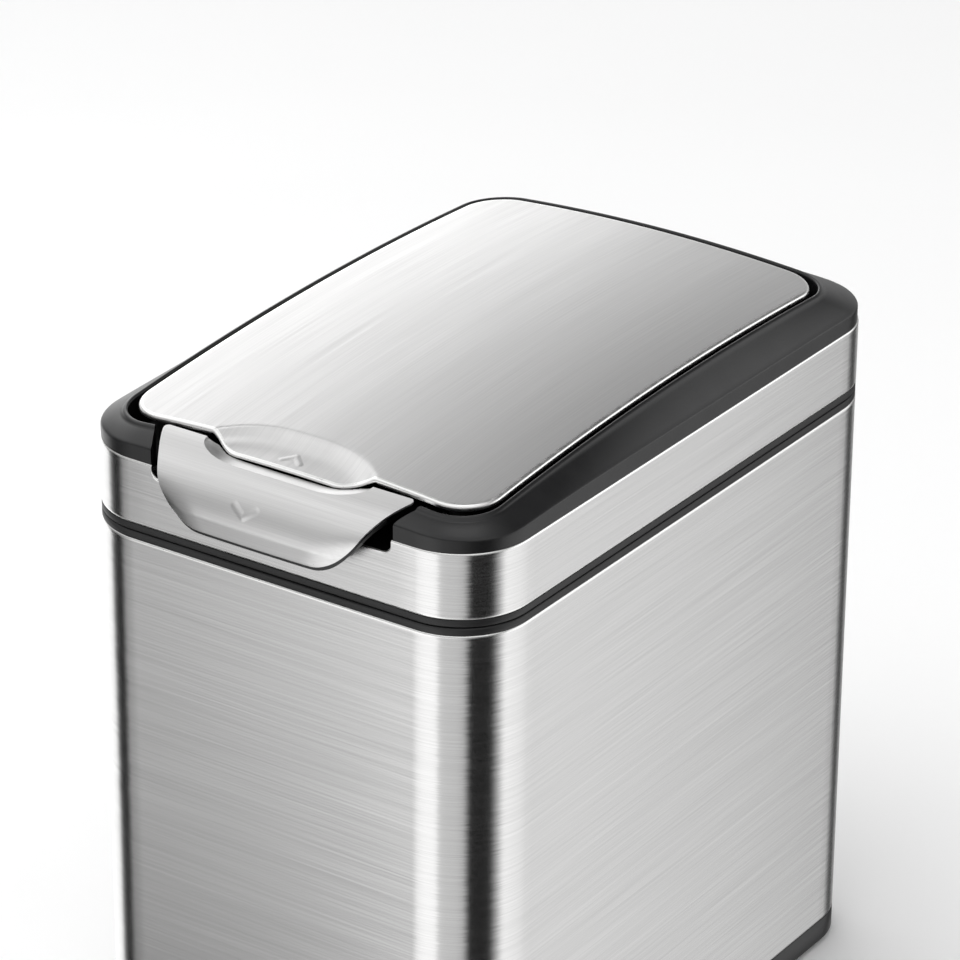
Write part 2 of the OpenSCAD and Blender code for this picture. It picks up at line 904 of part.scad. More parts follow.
module damper_screws() {
    color(zinc)
        for (y = damper_screw_y) {
            screw_down(damper_x - damper_l / 2, y, deck_z + damper_foot_t, deck_screw_l + 0.7);
        }
}

// Lid

function lip_window(x, fade) = smooth((lip_half - abs(x)) / fade);

// Height of the lid's outer surface above the band's top edge
function lid_surface(x, y) =
    let (t = clamp01((lip_y + scoop_l - y) / scoop_l))
    lid_dome(x, y) - lip_dip * pow(t, 1.6) * lip_window(x, 10);

// Outline of the lid with its finger lip, drawn in by an inset
function lid_outline(inset) = [
    for (p = outline(lid_w - 2 * inset, lid_l - 2 * inset, lid_cy, lid_r - inset))
        p.y < lid_front + inset + 0.01
            ? [p.x, p.y - lip_reach * lip_window(p.x, lip_half - lip_tip_half)]
            : p
];

function shrunk(points, s) = [for (p = points) [p.x * s, lid_cy + (p.y - lid_cy) * s]];

function laid(points, drop) = [for (p = points) [p.x, p.y, top_z + lid_surface(p.x, p.y) - drop]];

// The folded edge is lower at the lip than elsewhere
function fold_at(p) = lerp(fold_h, 1.5, p.y < lid_front ? lip_window(p.x, 10) : 0);

function fold_ring(inset) = [
    for (p = lid_outline(inset)) [p.x, p.y, top_z + lid_surface(p.x, p.y) - fold_at(p)]
];

lid_steps = [0.3, 0.58, 0.78, 0.88, 0.92, 0.955, 0.98];

module lid_skin() {
    n = len(lid_steps);
    color(steel)
        ring_solid(concat(
            [for (s = lid_steps) laid(shrunk(lid_outline(sheet_t), s), sheet_t)],
            [laid(lid_outline(sheet_t), sheet_t)],
            [fold_ring(sheet_t), fold_ring(0)],
            [laid(lid_outline(0), 0.5), laid(lid_outline(0.4), 0.05)],
            [for (i = [n - 1 : -1 : 0]) laid(shrunk(lid_outline(0.4), lid_steps[i]), 0)]
        ));
}

liner_inset = 3;
liner_rear = pin_y - 5;
liner_front = lid_front + liner_inset;
liner_outline = outline(lid_w - 2 * liner_inset, liner_rear - liner_front,
    (liner_front + liner_rear) / 2, lid_r - liner_inset);
liner_steps = [0.35, 0.7, 0.88, 0.95];
arm_screw_y = [arm_front + 5, arm_front + 17];
striker_screw_x = 9.5;
striker_half = 13;
striker_y = magnet_y;
arm_screw_places = concat(
    [for (sx = [-1, 1]) for (y = arm_screw_y) [sx * hinge_x, y]],
    [[0, pin_y - 21.5]]
);
striker_screw_places = [for (sx = [-1, 1]) [sx * striker_screw_x, striker_y]];

// Boss under the liner, from the level of what is screwed to it
module liner_boss(x, y, z) {
    translate([x, y, z])
        cylinder(h = top_z + lid_surface(x, y) - sheet_t - gap - liner_t / 2 - z, r = boss_r);
}

module lid_liner() {
    n = len(liner_steps);
    color(black)
        difference() {
            union() {
                ring_solid(concat(
                    [for (s = liner_steps) laid(shrunk(liner_outline, s), lid_under)],
                    [laid(liner_outline, lid_under), laid(liner_outline, sheet_t + gap)],
                    [for (i = [n - 1 : -1 : 0]) laid(shrunk(liner_outline, liner_steps[i]), sheet_t + gap)]
                ));
                for (p = arm_screw_places) {
                    liner_boss(p.x, p.y, arm_z + arm_t);
                }
                for (p = striker_screw_places) {
                    liner_boss(p.x, p.y, striker_z + striker_t);
                }
            }
            for (p = arm_screw_places) {
                translate([p.x, p.y, arm_z])
                    cylinder(h = arm_t + 2.8, r = screw_r + hole_fit);
            }
            for (p = striker_screw_places) {
                translate([p.x, p.y, striker_z])
                    cylinder(h = striker_t + 2, r = screw_r + hole_fit);
            }
        }
}

module hinge_arm(sx) {
    color(zinc)
        scale([sx, 1, 1])
            difference() {
                union() {
                    rod_x(hinge_x - arm_w / 2, hinge_x + arm_w / 2, pin_y, pin_z, knuckle_r);
                    plate_x(hinge_x - arm_w / 2, hinge_x + arm_w / 2)
                        polygon([
                            [pin_y, pin_z - knuckle_r + 0.1],
                            [pin_y - 6, arm_z],
                            [arm_front, arm_z],
                            [arm_front, arm_z + arm_t],
                            [pin_y - 2.3, arm_z + arm_t]
                        ]);
                }
                rod_x(0, body_w, pin_y, pin_z, pin_r + pin_fit);
                for (y = arm_screw_y) {
                    translate([hinge_x, y, arm_z - 1])
                        cylinder(h = arm_t + 2, r = screw_r + hole_fit);
                }
            }
}

module arm_screws() {
    color(zinc)
        for (p = arm_screw_places) {
            screw_up(p.x, p.y, arm_z, arm_t + 2.5);
        }
}

module striker_plate() {
    color(steel)
        difference() {
            box_between([-striker_half, striker_y - 6, striker_z],
                [striker_half, striker_y + 6, striker_z + striker_t]);
            for (p = striker_screw_places) {
                translate([p.x, p.y, striker_z - 1])
                    cylinder(h = striker_t + 2, r = screw_r + hole_fit);
            }
        }
}

module striker_screws() {
    color(zinc)
        for (p = striker_screw_places) {
            screw_up(p.x, p.y, striker_z, striker_t + 1.6);
        }
}

// Push plate

// Face of the plate in the Y-Z plane at row t, 0 at its top edge and 1 at its bottom edge
plate_bend = 0.84;

function plate_face(t) =
    t < plate_bend
        ? let (s = t / plate_bend, a = (1 - s) * (1 - s), b = 2 * s * (1 - s), c = s * s)
          [a * plate_y + b * plate_pull_y + c * crease_y, a * plate_top + b * plate_pull_z + c * crease_z]
        : let (s = (t - plate_bend) / (1 - plate_bend))
          [lerp(crease_y, front_y - plate_reach, s), lerp(crease_z, -plate_bottom, s)];

// Length of the plate's face from its top edge down to row t
function face_length(t, n = 24) =
    t <= 0
        ? 0
        : [for (i = [1 : n]) norm(plate_face(t * i / n) - plate_face(t * (i - 1) / n))] * [for (i = [1 : n]) 1];

function plate_width_at(t) =
    let (
        s = face_length(t),
        past = s - (face_length(1) - plate_corner_r),
        corner = past > 0 ? plate_corner_r - sqrt(max(0, pow(plate_corner_r, 2) - past * past)) : 0,
        top_corner = max(0, 3 - s)
    )
    plate_half - plate_taper * s - min(corner, 10.5) - (3 - sqrt(9 - top_corner * top_corner));

// Front edge of the finger recess at x, and the drop of the plate behind it
function recess_edge(x) =
    let (past = clamp01((abs(x) - recess_half) / (lip_half - recess_half)))
    lerp(plate_y, front_y + recess_front, sqrt(1 - past * past));

function recessed(x, y, z) =
    let (past = y - recess_edge(x))
    past > 0 && abs(x) < lip_half ? max(recess_floor, z - 2.4 * past) : z;

function plate_point(i, j, inset) =
    let (
        t = i / plate_rows,
        face = plate_face(t),
        x = plate_width_at(t) * (2 * j / plate_cols - 1),
        z = recessed(x, face.x, face.y),
        back = i / plate_rows > 0.6 ? inset : 0,
        down = i / plate_rows > 0.6 ? 0 : inset
    )
    [x, face.x + back, top_z + z - down];

// Each row of the plate is a ring round its sheet: along the front and back along the rear
module push_plate() {
    color(steel)
        ring_solid([
            for (i = [plate_rows : -1 : 0])
                concat(
                    [for (j = [0 : plate_cols]) plate_point(i, j, 0)],
                    [for (j = [plate_cols : -1 : 0]) plate_point(i, j, sheet_t)]
                )
        ]);
}

// Lever under the plate

lever_inset = sheet_t + 0.3;
// Half width of the rib behind the plate, clear of the plate's rounded lower corners
rib_half = min(lever_arm_x - 5, plate_width_at(0.97) - 2);

// The plate's face moved back and down by an amount, for the ribs under it
function under_face(t, d) =
    let (
        p = plate_face(t),
        q = plate_face(t + 0.01),
        r = plate_face(t - 0.01),
        along = unit(q - r)
    )
    p + d * [-along.y, along.x];

module lever_rib(x0, x1, t0, t1) {
    plate_x(x0, x1)
        translate([0, top_z])
            polygon(concat(
                [for (i = [0 : 8]) under_face(lerp(t0, t1, i / 8), lever_inset)],
                [for (i = [8 : -1 : 0]) under_face(lerp(t0, t1, i / 8), lever_inset + 2)]
            ));
}

module lever_frame() {
    cup_r = magnet_r + 1.6;
    color(black)
        difference() {
            union() {
                lever_rib(-rib_half, rib_half, 0.45, 0.97);
                box_between([-lever_half, lever_front, top_z], [lever_half, pivot_y + 4, top_z + lever_t]);
                for (sx = [-1, 1]) {
                    scale([sx, 1, 1]) {
                        plate_x(lever_arm_x, lever_arm_x + lever_arm_t)
                            polygon([
                                [lever_front, top_z],
                                [lever_front, top_z + lever_t],
                                [front_y - 2, top_z + 4.2],
                                [front_y + 1, top_z + 6],
                                [plate_y - 1, top_z + 8.8],
                                [plate_y + 3, top_z + 5],
                                [pivot_y + 4, top_z + lever_t],
                                [pivot_y + 4, pivot_z],
                                [pivot_y - 4, pivot_z],
                                [pivot_y - 12, top_z]
                            ]);
                        rod_x(lever_arm_x, lever_arm_x + lever_arm_t, pivot_y, pivot_z, 4);
                    }
                }
                translate([0, magnet_y, top_z])
                    cylinder(h = magnet_top - top_z - 0.6, r = cup_r);
            }
            rod_x(-body_w, body_w, pivot_y, pivot_z, lever_pin_r + pin_fit);
            translate([0, magnet_y, magnet_top - magnet_h])
                cylinder(h = magnet_h + 1, r = magnet_r + seat);
        }
}

module catch_magnet() {
    color(zinc)
        translate([0, magnet_y, magnet_top - magnet_h])
            cylinder(h = magnet_h, r = magnet_r);
}

module lever_bracket(sx) {
    x0 = lever_bracket_x;
    color(black)
        scale([sx, 1, 1])
            difference() {
                union() {
                    box_between([x0, pivot_y - 11.5, well_floor],
                        [x0 + lever_bracket_t, pivot_y + 6, well_floor + 2.5]);
                    box_between([x0, pivot_y - 4, well_floor], [x0 + lever_bracket_t, pivot_y + 4, pivot_z]);
                    rod_x(x0, x0 + lever_bracket_t, pivot_y, pivot_z, 4);
                }
                rod_x(x0 - 1, x0 + lever_bracket_t + 1, pivot_y, pivot_z, lever_pin_r + pin_fit);
                translate([x0 + lever_bracket_t / 2, lever_screw_y, well_floor - 1])
                    cylinder(h = 5, r = screw_r + hole_fit);
            }
}

module lever_bracket_screws() {
    color(zinc)
        for (sx = [-1, 1]) {
            screw_down(sx * (lever_bracket_x + lever_bracket_t / 2), lever_screw_y, well_floor + 2.5, 4);
        }
}

module lever_pin() {
    half = lever_bracket_x + lever_bracket_t + 0.8;
    color(zinc)
        rod_x(-half, half, pivot_y, pivot_z, lever_pin_r);
}

lever_wire_r = 0.45;
lever_coil_r = 2.7;
lever_turns = 5;
lever_spring_h = top_z - well_floor;

lever_coil = [
    for (i = [0 : 8 * lever_turns])
        [
            lever_coil_r * cos(45 * i),
            lever_coil_r * sin(45 * i),
            lerp(lever_wire_r + 0.05, lever_spring_h - lever_wire_r - 0.05, i / (8 * lever_turns))
        ]
];

module lever_spring(sx) {
    color(zinc)
        translate([sx * spring_x, spring_y, well_floor])
            tube(lever_coil, lever_wire_r, [0, 0, 1]);
}

// The body's centre lies behind the origin by half of what the push plate stands proud
module placed() {
    translate([0, plate_reach / 2, 0])
        children();
}

echo(str("least gap of a hinge spring to itself: ", least_gap(hinge_coil, coil_wire_r), " mm"));
echo(str("least gap of a lever spring to itself: ", least_gap(lever_coil, lever_wire_r), " mm"));

placed() base_tray();
placed() foot(-1, -1);  // foot_front_left
placed() foot(1, -1);  // foot_front_right
placed() foot(-1, 1);  // foot_rear_left
placed() foot(1, 1);  // foot_rear_right
placed() base_screws();
placed() clinch_nuts();
placed() body_sleeve();
placed() sleeve_top_ring();
placed() inner_bucket();
placed() head_bottom_ring();
placed() head_band();
placed() top_frame();
placed() head_screws();
placed() hinge_bracket(-1);  // hinge_bracket_left
placed() hinge_bracket(1);  // hinge_bracket_right
placed() bracket_screws();
placed() hinge_pin();
placed() hinge_spring(-1);  // hinge_spring_left
placed() hinge_spring(1);  // hinge_spring_right
placed() damper_housing();
placed() damper_screws();
placed() damper_pinion();
placed() lid_bumper(-1);  // lid_bumper_left
placed() lid_bumper(1);  // lid_bumper_right
placed() lever_bracket(-1);  // lever_bracket_left
placed() lever_bracket(1);  // lever_bracket_right
placed() lever_bracket_screws();
placed() lever_pin();
placed() lever_spring(-1);  // lever_spring_left
placed() lever_spring(1);  // lever_spring_right
placed() lid_skin();
placed() lid_liner();
placed() hinge_arm(-1);  // hinge_arm_left
placed() hinge_arm(1);  // hinge_arm_right
placed() arm_screws();
placed() damper_sector();
placed() striker_plate();
placed() striker_screws();
placed() push_plate();
placed() lever_frame();
placed() catch_magnet();
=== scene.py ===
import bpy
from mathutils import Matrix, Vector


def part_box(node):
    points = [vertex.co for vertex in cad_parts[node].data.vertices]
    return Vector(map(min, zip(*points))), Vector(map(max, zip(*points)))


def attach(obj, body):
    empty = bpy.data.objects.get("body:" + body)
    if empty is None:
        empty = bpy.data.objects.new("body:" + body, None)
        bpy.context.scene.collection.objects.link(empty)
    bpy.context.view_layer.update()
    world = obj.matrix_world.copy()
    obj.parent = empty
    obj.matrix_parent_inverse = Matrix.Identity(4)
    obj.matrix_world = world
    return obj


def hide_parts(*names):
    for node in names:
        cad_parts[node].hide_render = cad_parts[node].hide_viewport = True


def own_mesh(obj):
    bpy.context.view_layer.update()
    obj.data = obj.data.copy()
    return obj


bl_info = {
    "name": "Countertop Bin",
    "version": (1, 0, 0),
    "blender": (4, 5, 0),
    "location": "3D View > Sidebar > Bin",
    "description": "Builds a brushed steel countertop bin with push plate, domed lid and lift-out bucket",
    "category": "Add Mesh",
}

import bisect
import math

import bmesh
import bpy
from bpy.props import FloatProperty, FloatVectorProperty, PointerProperty
from mathutils import Matrix, Vector
from mathutils.geometry import tessellate_polygon

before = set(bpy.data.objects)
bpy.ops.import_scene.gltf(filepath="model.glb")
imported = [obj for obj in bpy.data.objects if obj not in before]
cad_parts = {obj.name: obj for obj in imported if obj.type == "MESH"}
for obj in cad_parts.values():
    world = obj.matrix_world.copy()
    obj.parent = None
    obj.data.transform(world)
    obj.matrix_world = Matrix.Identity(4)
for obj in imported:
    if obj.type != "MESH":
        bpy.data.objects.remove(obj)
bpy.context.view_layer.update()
MM = 0.001


def millimetres(node):
    """Lowest and highest corner of a CAD node, in millimetres."""
    low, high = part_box(node)
    return low / MM, high / MM


SLEEVE_LOW, SLEEVE_HIGH = millimetres("body_sleeve")
SEAM_HEIGHT = millimetres("sleeve_top_ring")[1].z
BAND_LOW, BAND_HIGH = millimetres("head_band")
BUCKET_TOP = millimetres("inner_bucket")[1].z
# The body's centre line, which every outline below is drawn from
CENTRE_Y = (SLEEVE_LOW.y + SLEEVE_HIGH.y) / 2


class BinSizes(bpy.types.PropertyGroup):
    """Sizes of the bin that its pieces are drawn from"""

    body_width: FloatProperty(
        name="Body width", description="Width of the steel body, side to side",
        default=(SLEEVE_HIGH.x - SLEEVE_LOW.x) * MM, unit="LENGTH", precision=4)
    body_depth: FloatProperty(
        name="Body depth", description="Depth of the steel body, front to back",
        default=(SLEEVE_HIGH.y - SLEEVE_LOW.y) * MM, unit="LENGTH", precision=4)
    corner_radius: FloatProperty(
        name="Corner radius", description="Radius of the body's upright corners",
        default=0.028, unit="LENGTH", precision=4)
    sleeve_foot: FloatProperty(
        name="Sleeve foot", description="Height of the sleeve's lower edge above the floor",
        default=SLEEVE_LOW.z * MM, unit="LENGTH", precision=4)
    sleeve_top: FloatProperty(
        name="Sleeve top", description="Height of the sleeve's upper edge above the floor",
        default=SLEEVE_HIGH.z * MM, unit="LENGTH", precision=4)
    seam: FloatProperty(
        name="Seam", description="Height of the seam where the head lifts off the body",
        default=SEAM_HEIGHT * MM, unit="LENGTH", precision=4)
    band_foot: FloatProperty(
        name="Band foot", description="Height of the steel band's lower edge above the floor",
        default=BAND_LOW.z * MM, unit="LENGTH", precision=4)
    band_top: FloatProperty(
        name="Band top", description="Height of the steel band's upper edge above the floor",
        default=BAND_HIGH.z * MM, unit="LENGTH", precision=4)
    sheet: FloatProperty(
        name="Sheet", description="Thickness of the steel sheet",
        default=0.0008, unit="LENGTH", precision=4)
    bucket_top: FloatProperty(
        name="Bucket rim", description="Height of the bucket's rim above the floor",
        default=BUCKET_TOP * MM, unit="LENGTH", precision=4)


class BinColours(bpy.types.PropertyGroup):
    """Colours of the bin's finishes"""

    steel: FloatVectorProperty(
        name="Steel", description="Colour of the brushed steel",
        default=(0.70, 0.697, 0.694), size=3, subtype="COLOR")
    plastic: FloatVectorProperty(
        name="Plastic", description="Colour of the black moulded plastic",
        default=(0.007, 0.007, 0.0075), size=3, subtype="COLOR")
    trim: FloatVectorProperty(
        name="Trim rings", description="Colour of the two trim rings",
        default=(0.012, 0.012, 0.0125), size=3, subtype="COLOR")
    bucket: FloatVectorProperty(
        name="Bucket", description="Colour of the bucket's plastic",
        default=(0.045, 0.046, 0.048), size=3, subtype="COLOR")
    rubber: FloatVectorProperty(
        name="Rubber", description="Colour of feet and bumpers",
        default=(0.012, 0.012, 0.012), size=3, subtype="COLOR")
    floor: FloatVectorProperty(
        name="Floor", description="Colour of the plain floor",
        default=(0.93, 0.93, 0.93), size=3, subtype="COLOR")


class Drawing:
    """The sizes in millimetres, with the outlines and surfaces that the pieces share."""

    def __init__(self):
        sizes = bpy.context.scene.bin_sizes
        self.width = sizes.body_width / MM
        self.depth = sizes.body_depth / MM
        self.corner = sizes.corner_radius / MM
        self.sleeve_foot = sizes.sleeve_foot / MM
        self.sleeve_top = sizes.sleeve_top / MM
        self.seam = sizes.seam / MM
        self.band_foot = sizes.band_foot / MM
        self.top = sizes.band_top / MM
        self.sheet = sizes.sheet / MM
        self.bucket_top = sizes.bucket_top / MM
        self.front = -self.depth / 2
        deck_below = 3
        self.deck = self.top - deck_below
        self.size_lid()
        self.size_push_plate()
        self.measure_face()

    def size_lid(self):
        """Sizes of the lid, the recess that it lies in, its finger lip, thumb scoop and hinge pin."""
        rim_side, rim_front, rim_rear = 10.5, 9.7, 20.6
        self.rim_width = self.width - 2 * rim_side
        self.rim_length = self.depth - rim_front - rim_rear
        self.rim_centre = (rim_front - rim_rear) / 2
        self.rim_corner = 17.1
        gap_side, gap_front, gap_rear = 2.5, 4.6, 3.7
        self.lid_width = self.rim_width - 2 * gap_side
        self.lid_front = self.front + rim_front + gap_front
        self.lid_rear = self.depth / 2 - rim_rear - gap_rear
        self.lid_length = self.lid_rear - self.lid_front
        self.lid_centre = (self.lid_front + self.lid_rear) / 2
        self.lid_corner = 16.4
        self.bumper_x, self.bumper_y = self.lid_width / 2 - 15, self.lid_front + 13.7
        # The dome's height at the middle of the lid's sides, its rise to the rear, and its two crowns
        self.lid_height, self.lid_rise = 13, 5.7
        self.crown_along, self.crown_across = 4.7, 3.9
        self.lip_reach = 5.9
        self.lip_half = 36
        self.lip_tip_half = 21
        self.lip_dip = 3.7
        self.lip_y = self.lid_front - self.lip_reach
        self.scoop_length = 18.4
        self.scoop_bow = 12.5
        pin_inset, pin_below = 3.6, 4.85
        self.pin_y = self.lid_rear - pin_inset
        self.pin_z = self.top + self.lid_height + self.lid_rise / 2 + self.crown_across - pin_below

    def size_push_plate(self):
        """Sizes of the push plate, its finger recess, and the well that its lever and springs stand in."""
        self.plate_y = self.front + 12
        self.plate_reach = 11.4
        self.plate_top = 11.2
        self.plate_bottom = 13.6
        self.plate_half = 55
        # How fast each side narrows, going down, and the size of the rounded lower corners
        self.plate_taper = 0.49
        self.plate_corner = 14
        self.plate_cut = 11.5
        self.plate_bow = 0.0003
        self.crease_y = self.front - self.plate_reach + 0.4
        self.crease_z = -7.5
        self.finger_front = self.front + 2.6
        self.finger_flat = 17
        self.well_floor = self.top - 12
        self.lever_spring_x, self.lever_spring_y = 28, self.front + 15

    def feet(self):
        """Places of the four feet by name."""
        x, y = self.width / 2 - 28, self.depth / 2 - 28
        return {f"foot_{end}_{hand}": (sx * x, sy * y)
                for end, sy in (("front", -1), ("rear", 1)) for hand, sx in (("left", -1), ("right", 1))}

    def body(self, inset, **counts):
        """Outline of the body, drawn in by an inset."""
        return outline(self.width - 2 * inset, self.depth - 2 * inset, 0, self.corner - inset, **counts)

    def rim(self, inset, **counts):
        """Outline of the recess that the lid lies in."""
        return outline(self.rim_width - 2 * inset, self.rim_length - 2 * inset,
                       self.rim_centre, self.rim_corner - inset, **counts)

    def dome(self, x, y):
        """Height of the lid's domed surface above the band's top edge, without the thumb scoop."""
        v = (y - self.lid_centre) / self.lid_length
        return (self.lid_height + self.lid_rise * v + self.crown_along * (1 - 4 * v * v)
                + self.crown_across * (1 - (2 * x / self.lid_width) ** 2))

    def scoop(self, x, y):
        """How far the thumb scoop dips below the dome."""
        edge = self.lip_y + self.scoop_length - self.scoop_bow * (abs(x) / self.lip_half) ** 3
        past = max(0.0, edge - y)
        eased = past * past / (past + 1)
        full = self.scoop_length ** 2 / (self.scoop_length + 1)
        return self.lip_dip * (1 - (1 - min(1.0, eased / full)) ** 3)

    def lid(self, x, y):
        """Height of the lid's outer surface above the band's top edge."""
        return self.dome(x, y) - self.scoop(x, y)

    def lid_edge(self, inset, **counts):
        """Outline of the lid with its finger lip."""
        points = outline(self.lid_width - 2 * inset, self.lid_length - 2 * inset,
                         self.lid_centre, self.lid_corner - inset, **counts)
        reach = self.lip_half - self.lip_tip_half
        return [
            (x, y - self.lip_reach * smooth((self.lip_half - abs(x)) / reach))
            if y < self.lid_front + inset + 0.01 else (x, y)
            for x, y in points
        ]

    def strip(self, x, y):
        """Height of the bezel's upright strip above the band's top edge; it falls off towards the corners."""
        height, fall = 6.65, 2.9 if y < 0 else 1.0
        return height - fall * (abs(x) / (self.width / 2) * abs(y) / (self.depth / 2)) ** 4

    def face(self, t):
        """Place of the push plate's face in the Y-Z plane, from t = 0 at its top to t = 1 at its foot."""
        bend = 0.84
        swell_y, swell_z = self.crease_y + 3.5, 7.5
        foot_y = self.front - self.plate_reach + 0.8
        if t < bend:
            s = t / bend
            a, b, c = (1 - s) ** 2, 2 * s * (1 - s), s * s
            return (a * self.plate_y + b * swell_y + c * self.crease_y,
                    a * self.plate_top + b * swell_z + c * self.crease_z)
        s = (t - bend) / (1 - bend)
        return lerp(self.crease_y, foot_y, s), lerp(self.crease_z, -self.plate_bottom, s)

    def measure_face(self, steps=400):
        """Measures the push plate's face, so that a place on it can be given by its way down from the top."""
        self.down = [(0.0, *self.face(0))]
        for i in range(1, steps + 1):
            y, z = self.face(i / steps)
            s, y0, z0 = self.down[-1]
            self.down.append((s + math.hypot(y - y0, z - z0), y, z))
        self.face_length = self.down[-1][0]

    def on_face(self, s):
        """Place and inward direction of the push plate's face in the Y-Z plane, s down from its top edge."""
        i = bisect.bisect_right(self.down, (max(0.0, s), math.inf)) - 1
        i = min(i, len(self.down) - 2)
        (s0, y0, z0), (s1, y1, z1) = self.down[i], self.down[i + 1]
        share = (s - s0) / (s1 - s0)
        run_y, run_z = (y1 - y0) / (s1 - s0), (z1 - z0) / (s1 - s0)
        return lerp(y0, y1, share), lerp(z0, z1, share), -run_z, run_y

    def half_face(self, s):
        """Half width of the push plate, s down from its top edge."""
        r, top_r = self.plate_corner, 3
        past = max(0.0, min(r, s - (self.face_length - r)))
        near = max(0.0, top_r - max(0.0, s))
        cut = self.plate_cut * (1 - math.sqrt(1 - past * past / (r * r)))
        return self.plate_half - self.plate_taper * s - cut - (top_r - math.sqrt(top_r * top_r - near * near))

    def finger_edge(self, x):
        """Distance from the top edge at which the finger recess in the push plate starts."""
        ahead = max(0.0, min(1.0, (abs(x) - self.finger_flat) / (self.lip_half - self.finger_flat)))
        if ahead >= 1:
            return 0.0
        y = lerp(self.plate_y, self.finger_front, math.sqrt(1 - ahead * ahead))
        return next(s for s, y0, z0 in self.down if y0 <= y)

    def bow(self, x, s):
        """How far the push plate bends back towards its ends, and rolls in at its lower corners."""
        roll, roll_width, roll_height = 2.2, 16, 17
        bow_start, ease = 5, 12
        side = self.plate_half - self.plate_taper * s - abs(x)
        rolled = smooth((s - self.face_length + roll_height) / ease) * max(0.0, 1 - side / roll_width) ** 2
        return self.plate_bow * x * x * smooth((s - bow_start) / ease) + roll * rolled


def lerp(a, b, t):
    return a + (b - a) * t


def smooth(t):
    """Eased step from 0 to 1."""
    t = max(0.0, min(1.0, t))
    return t * t * (3 - 2 * t)


def run(p, q, count):
    """Evenly spaced points from p up to, but without, q."""
    return [(lerp(p[0], q[0], i / count), lerp(p[1], q[1], i / count)) for i in range(count)]


def arc(cx, cy, radius, start, count):
    """Quarter circle from a start angle in degrees, without its last point."""
    turn = [math.radians(start + 90 * i / count) for i in range(count)]
    return [(cx + radius * math.cos(a), cy + radius * math.sin(a)) for a in turn]


def outline(width, length, centre, radius, front=96, side=48, rear=32, corner=20, front_xs=None):
    """Rounded rectangle as points, anticlockwise from the front edge's left end."""
    hx, hy = width / 2 - radius, length / 2 - radius
    low, high = centre - length / 2, centre + length / 2
    first = run((-hx, low), (hx, low), front)
    if front_xs:
        first = [(-hx, low)] + [(x, low) for x in front_xs if -hx < x < hx]
    return (first + arc(hx, centre - hy, radius, -90, corner)
            + run((width / 2, centre - hy), (width / 2, centre + hy), side)
            + arc(hx, centre + hy, radius, 0, corner)
            + run((hx, high), (-hx, high), rear)
            + arc(-hx, centre + hy, radius, 90, corner)
            + run((-width / 2, centre + hy), (-width / 2, centre - hy), side)
            + arc(-hx, centre - hy, radius, 180, corner))


def shrunk(points, share, centre):
    """Points drawn in to a share of their distance from a centre on the Y axis."""
    return [(x * share, centre + (y - centre) * share) for x, y in points]


def raised(points, height):
    """Points of the plane given a height, which may be a number or a function of x and y."""
    return [(x, y, height(x, y) if callable(height) else height) for x, y in points]


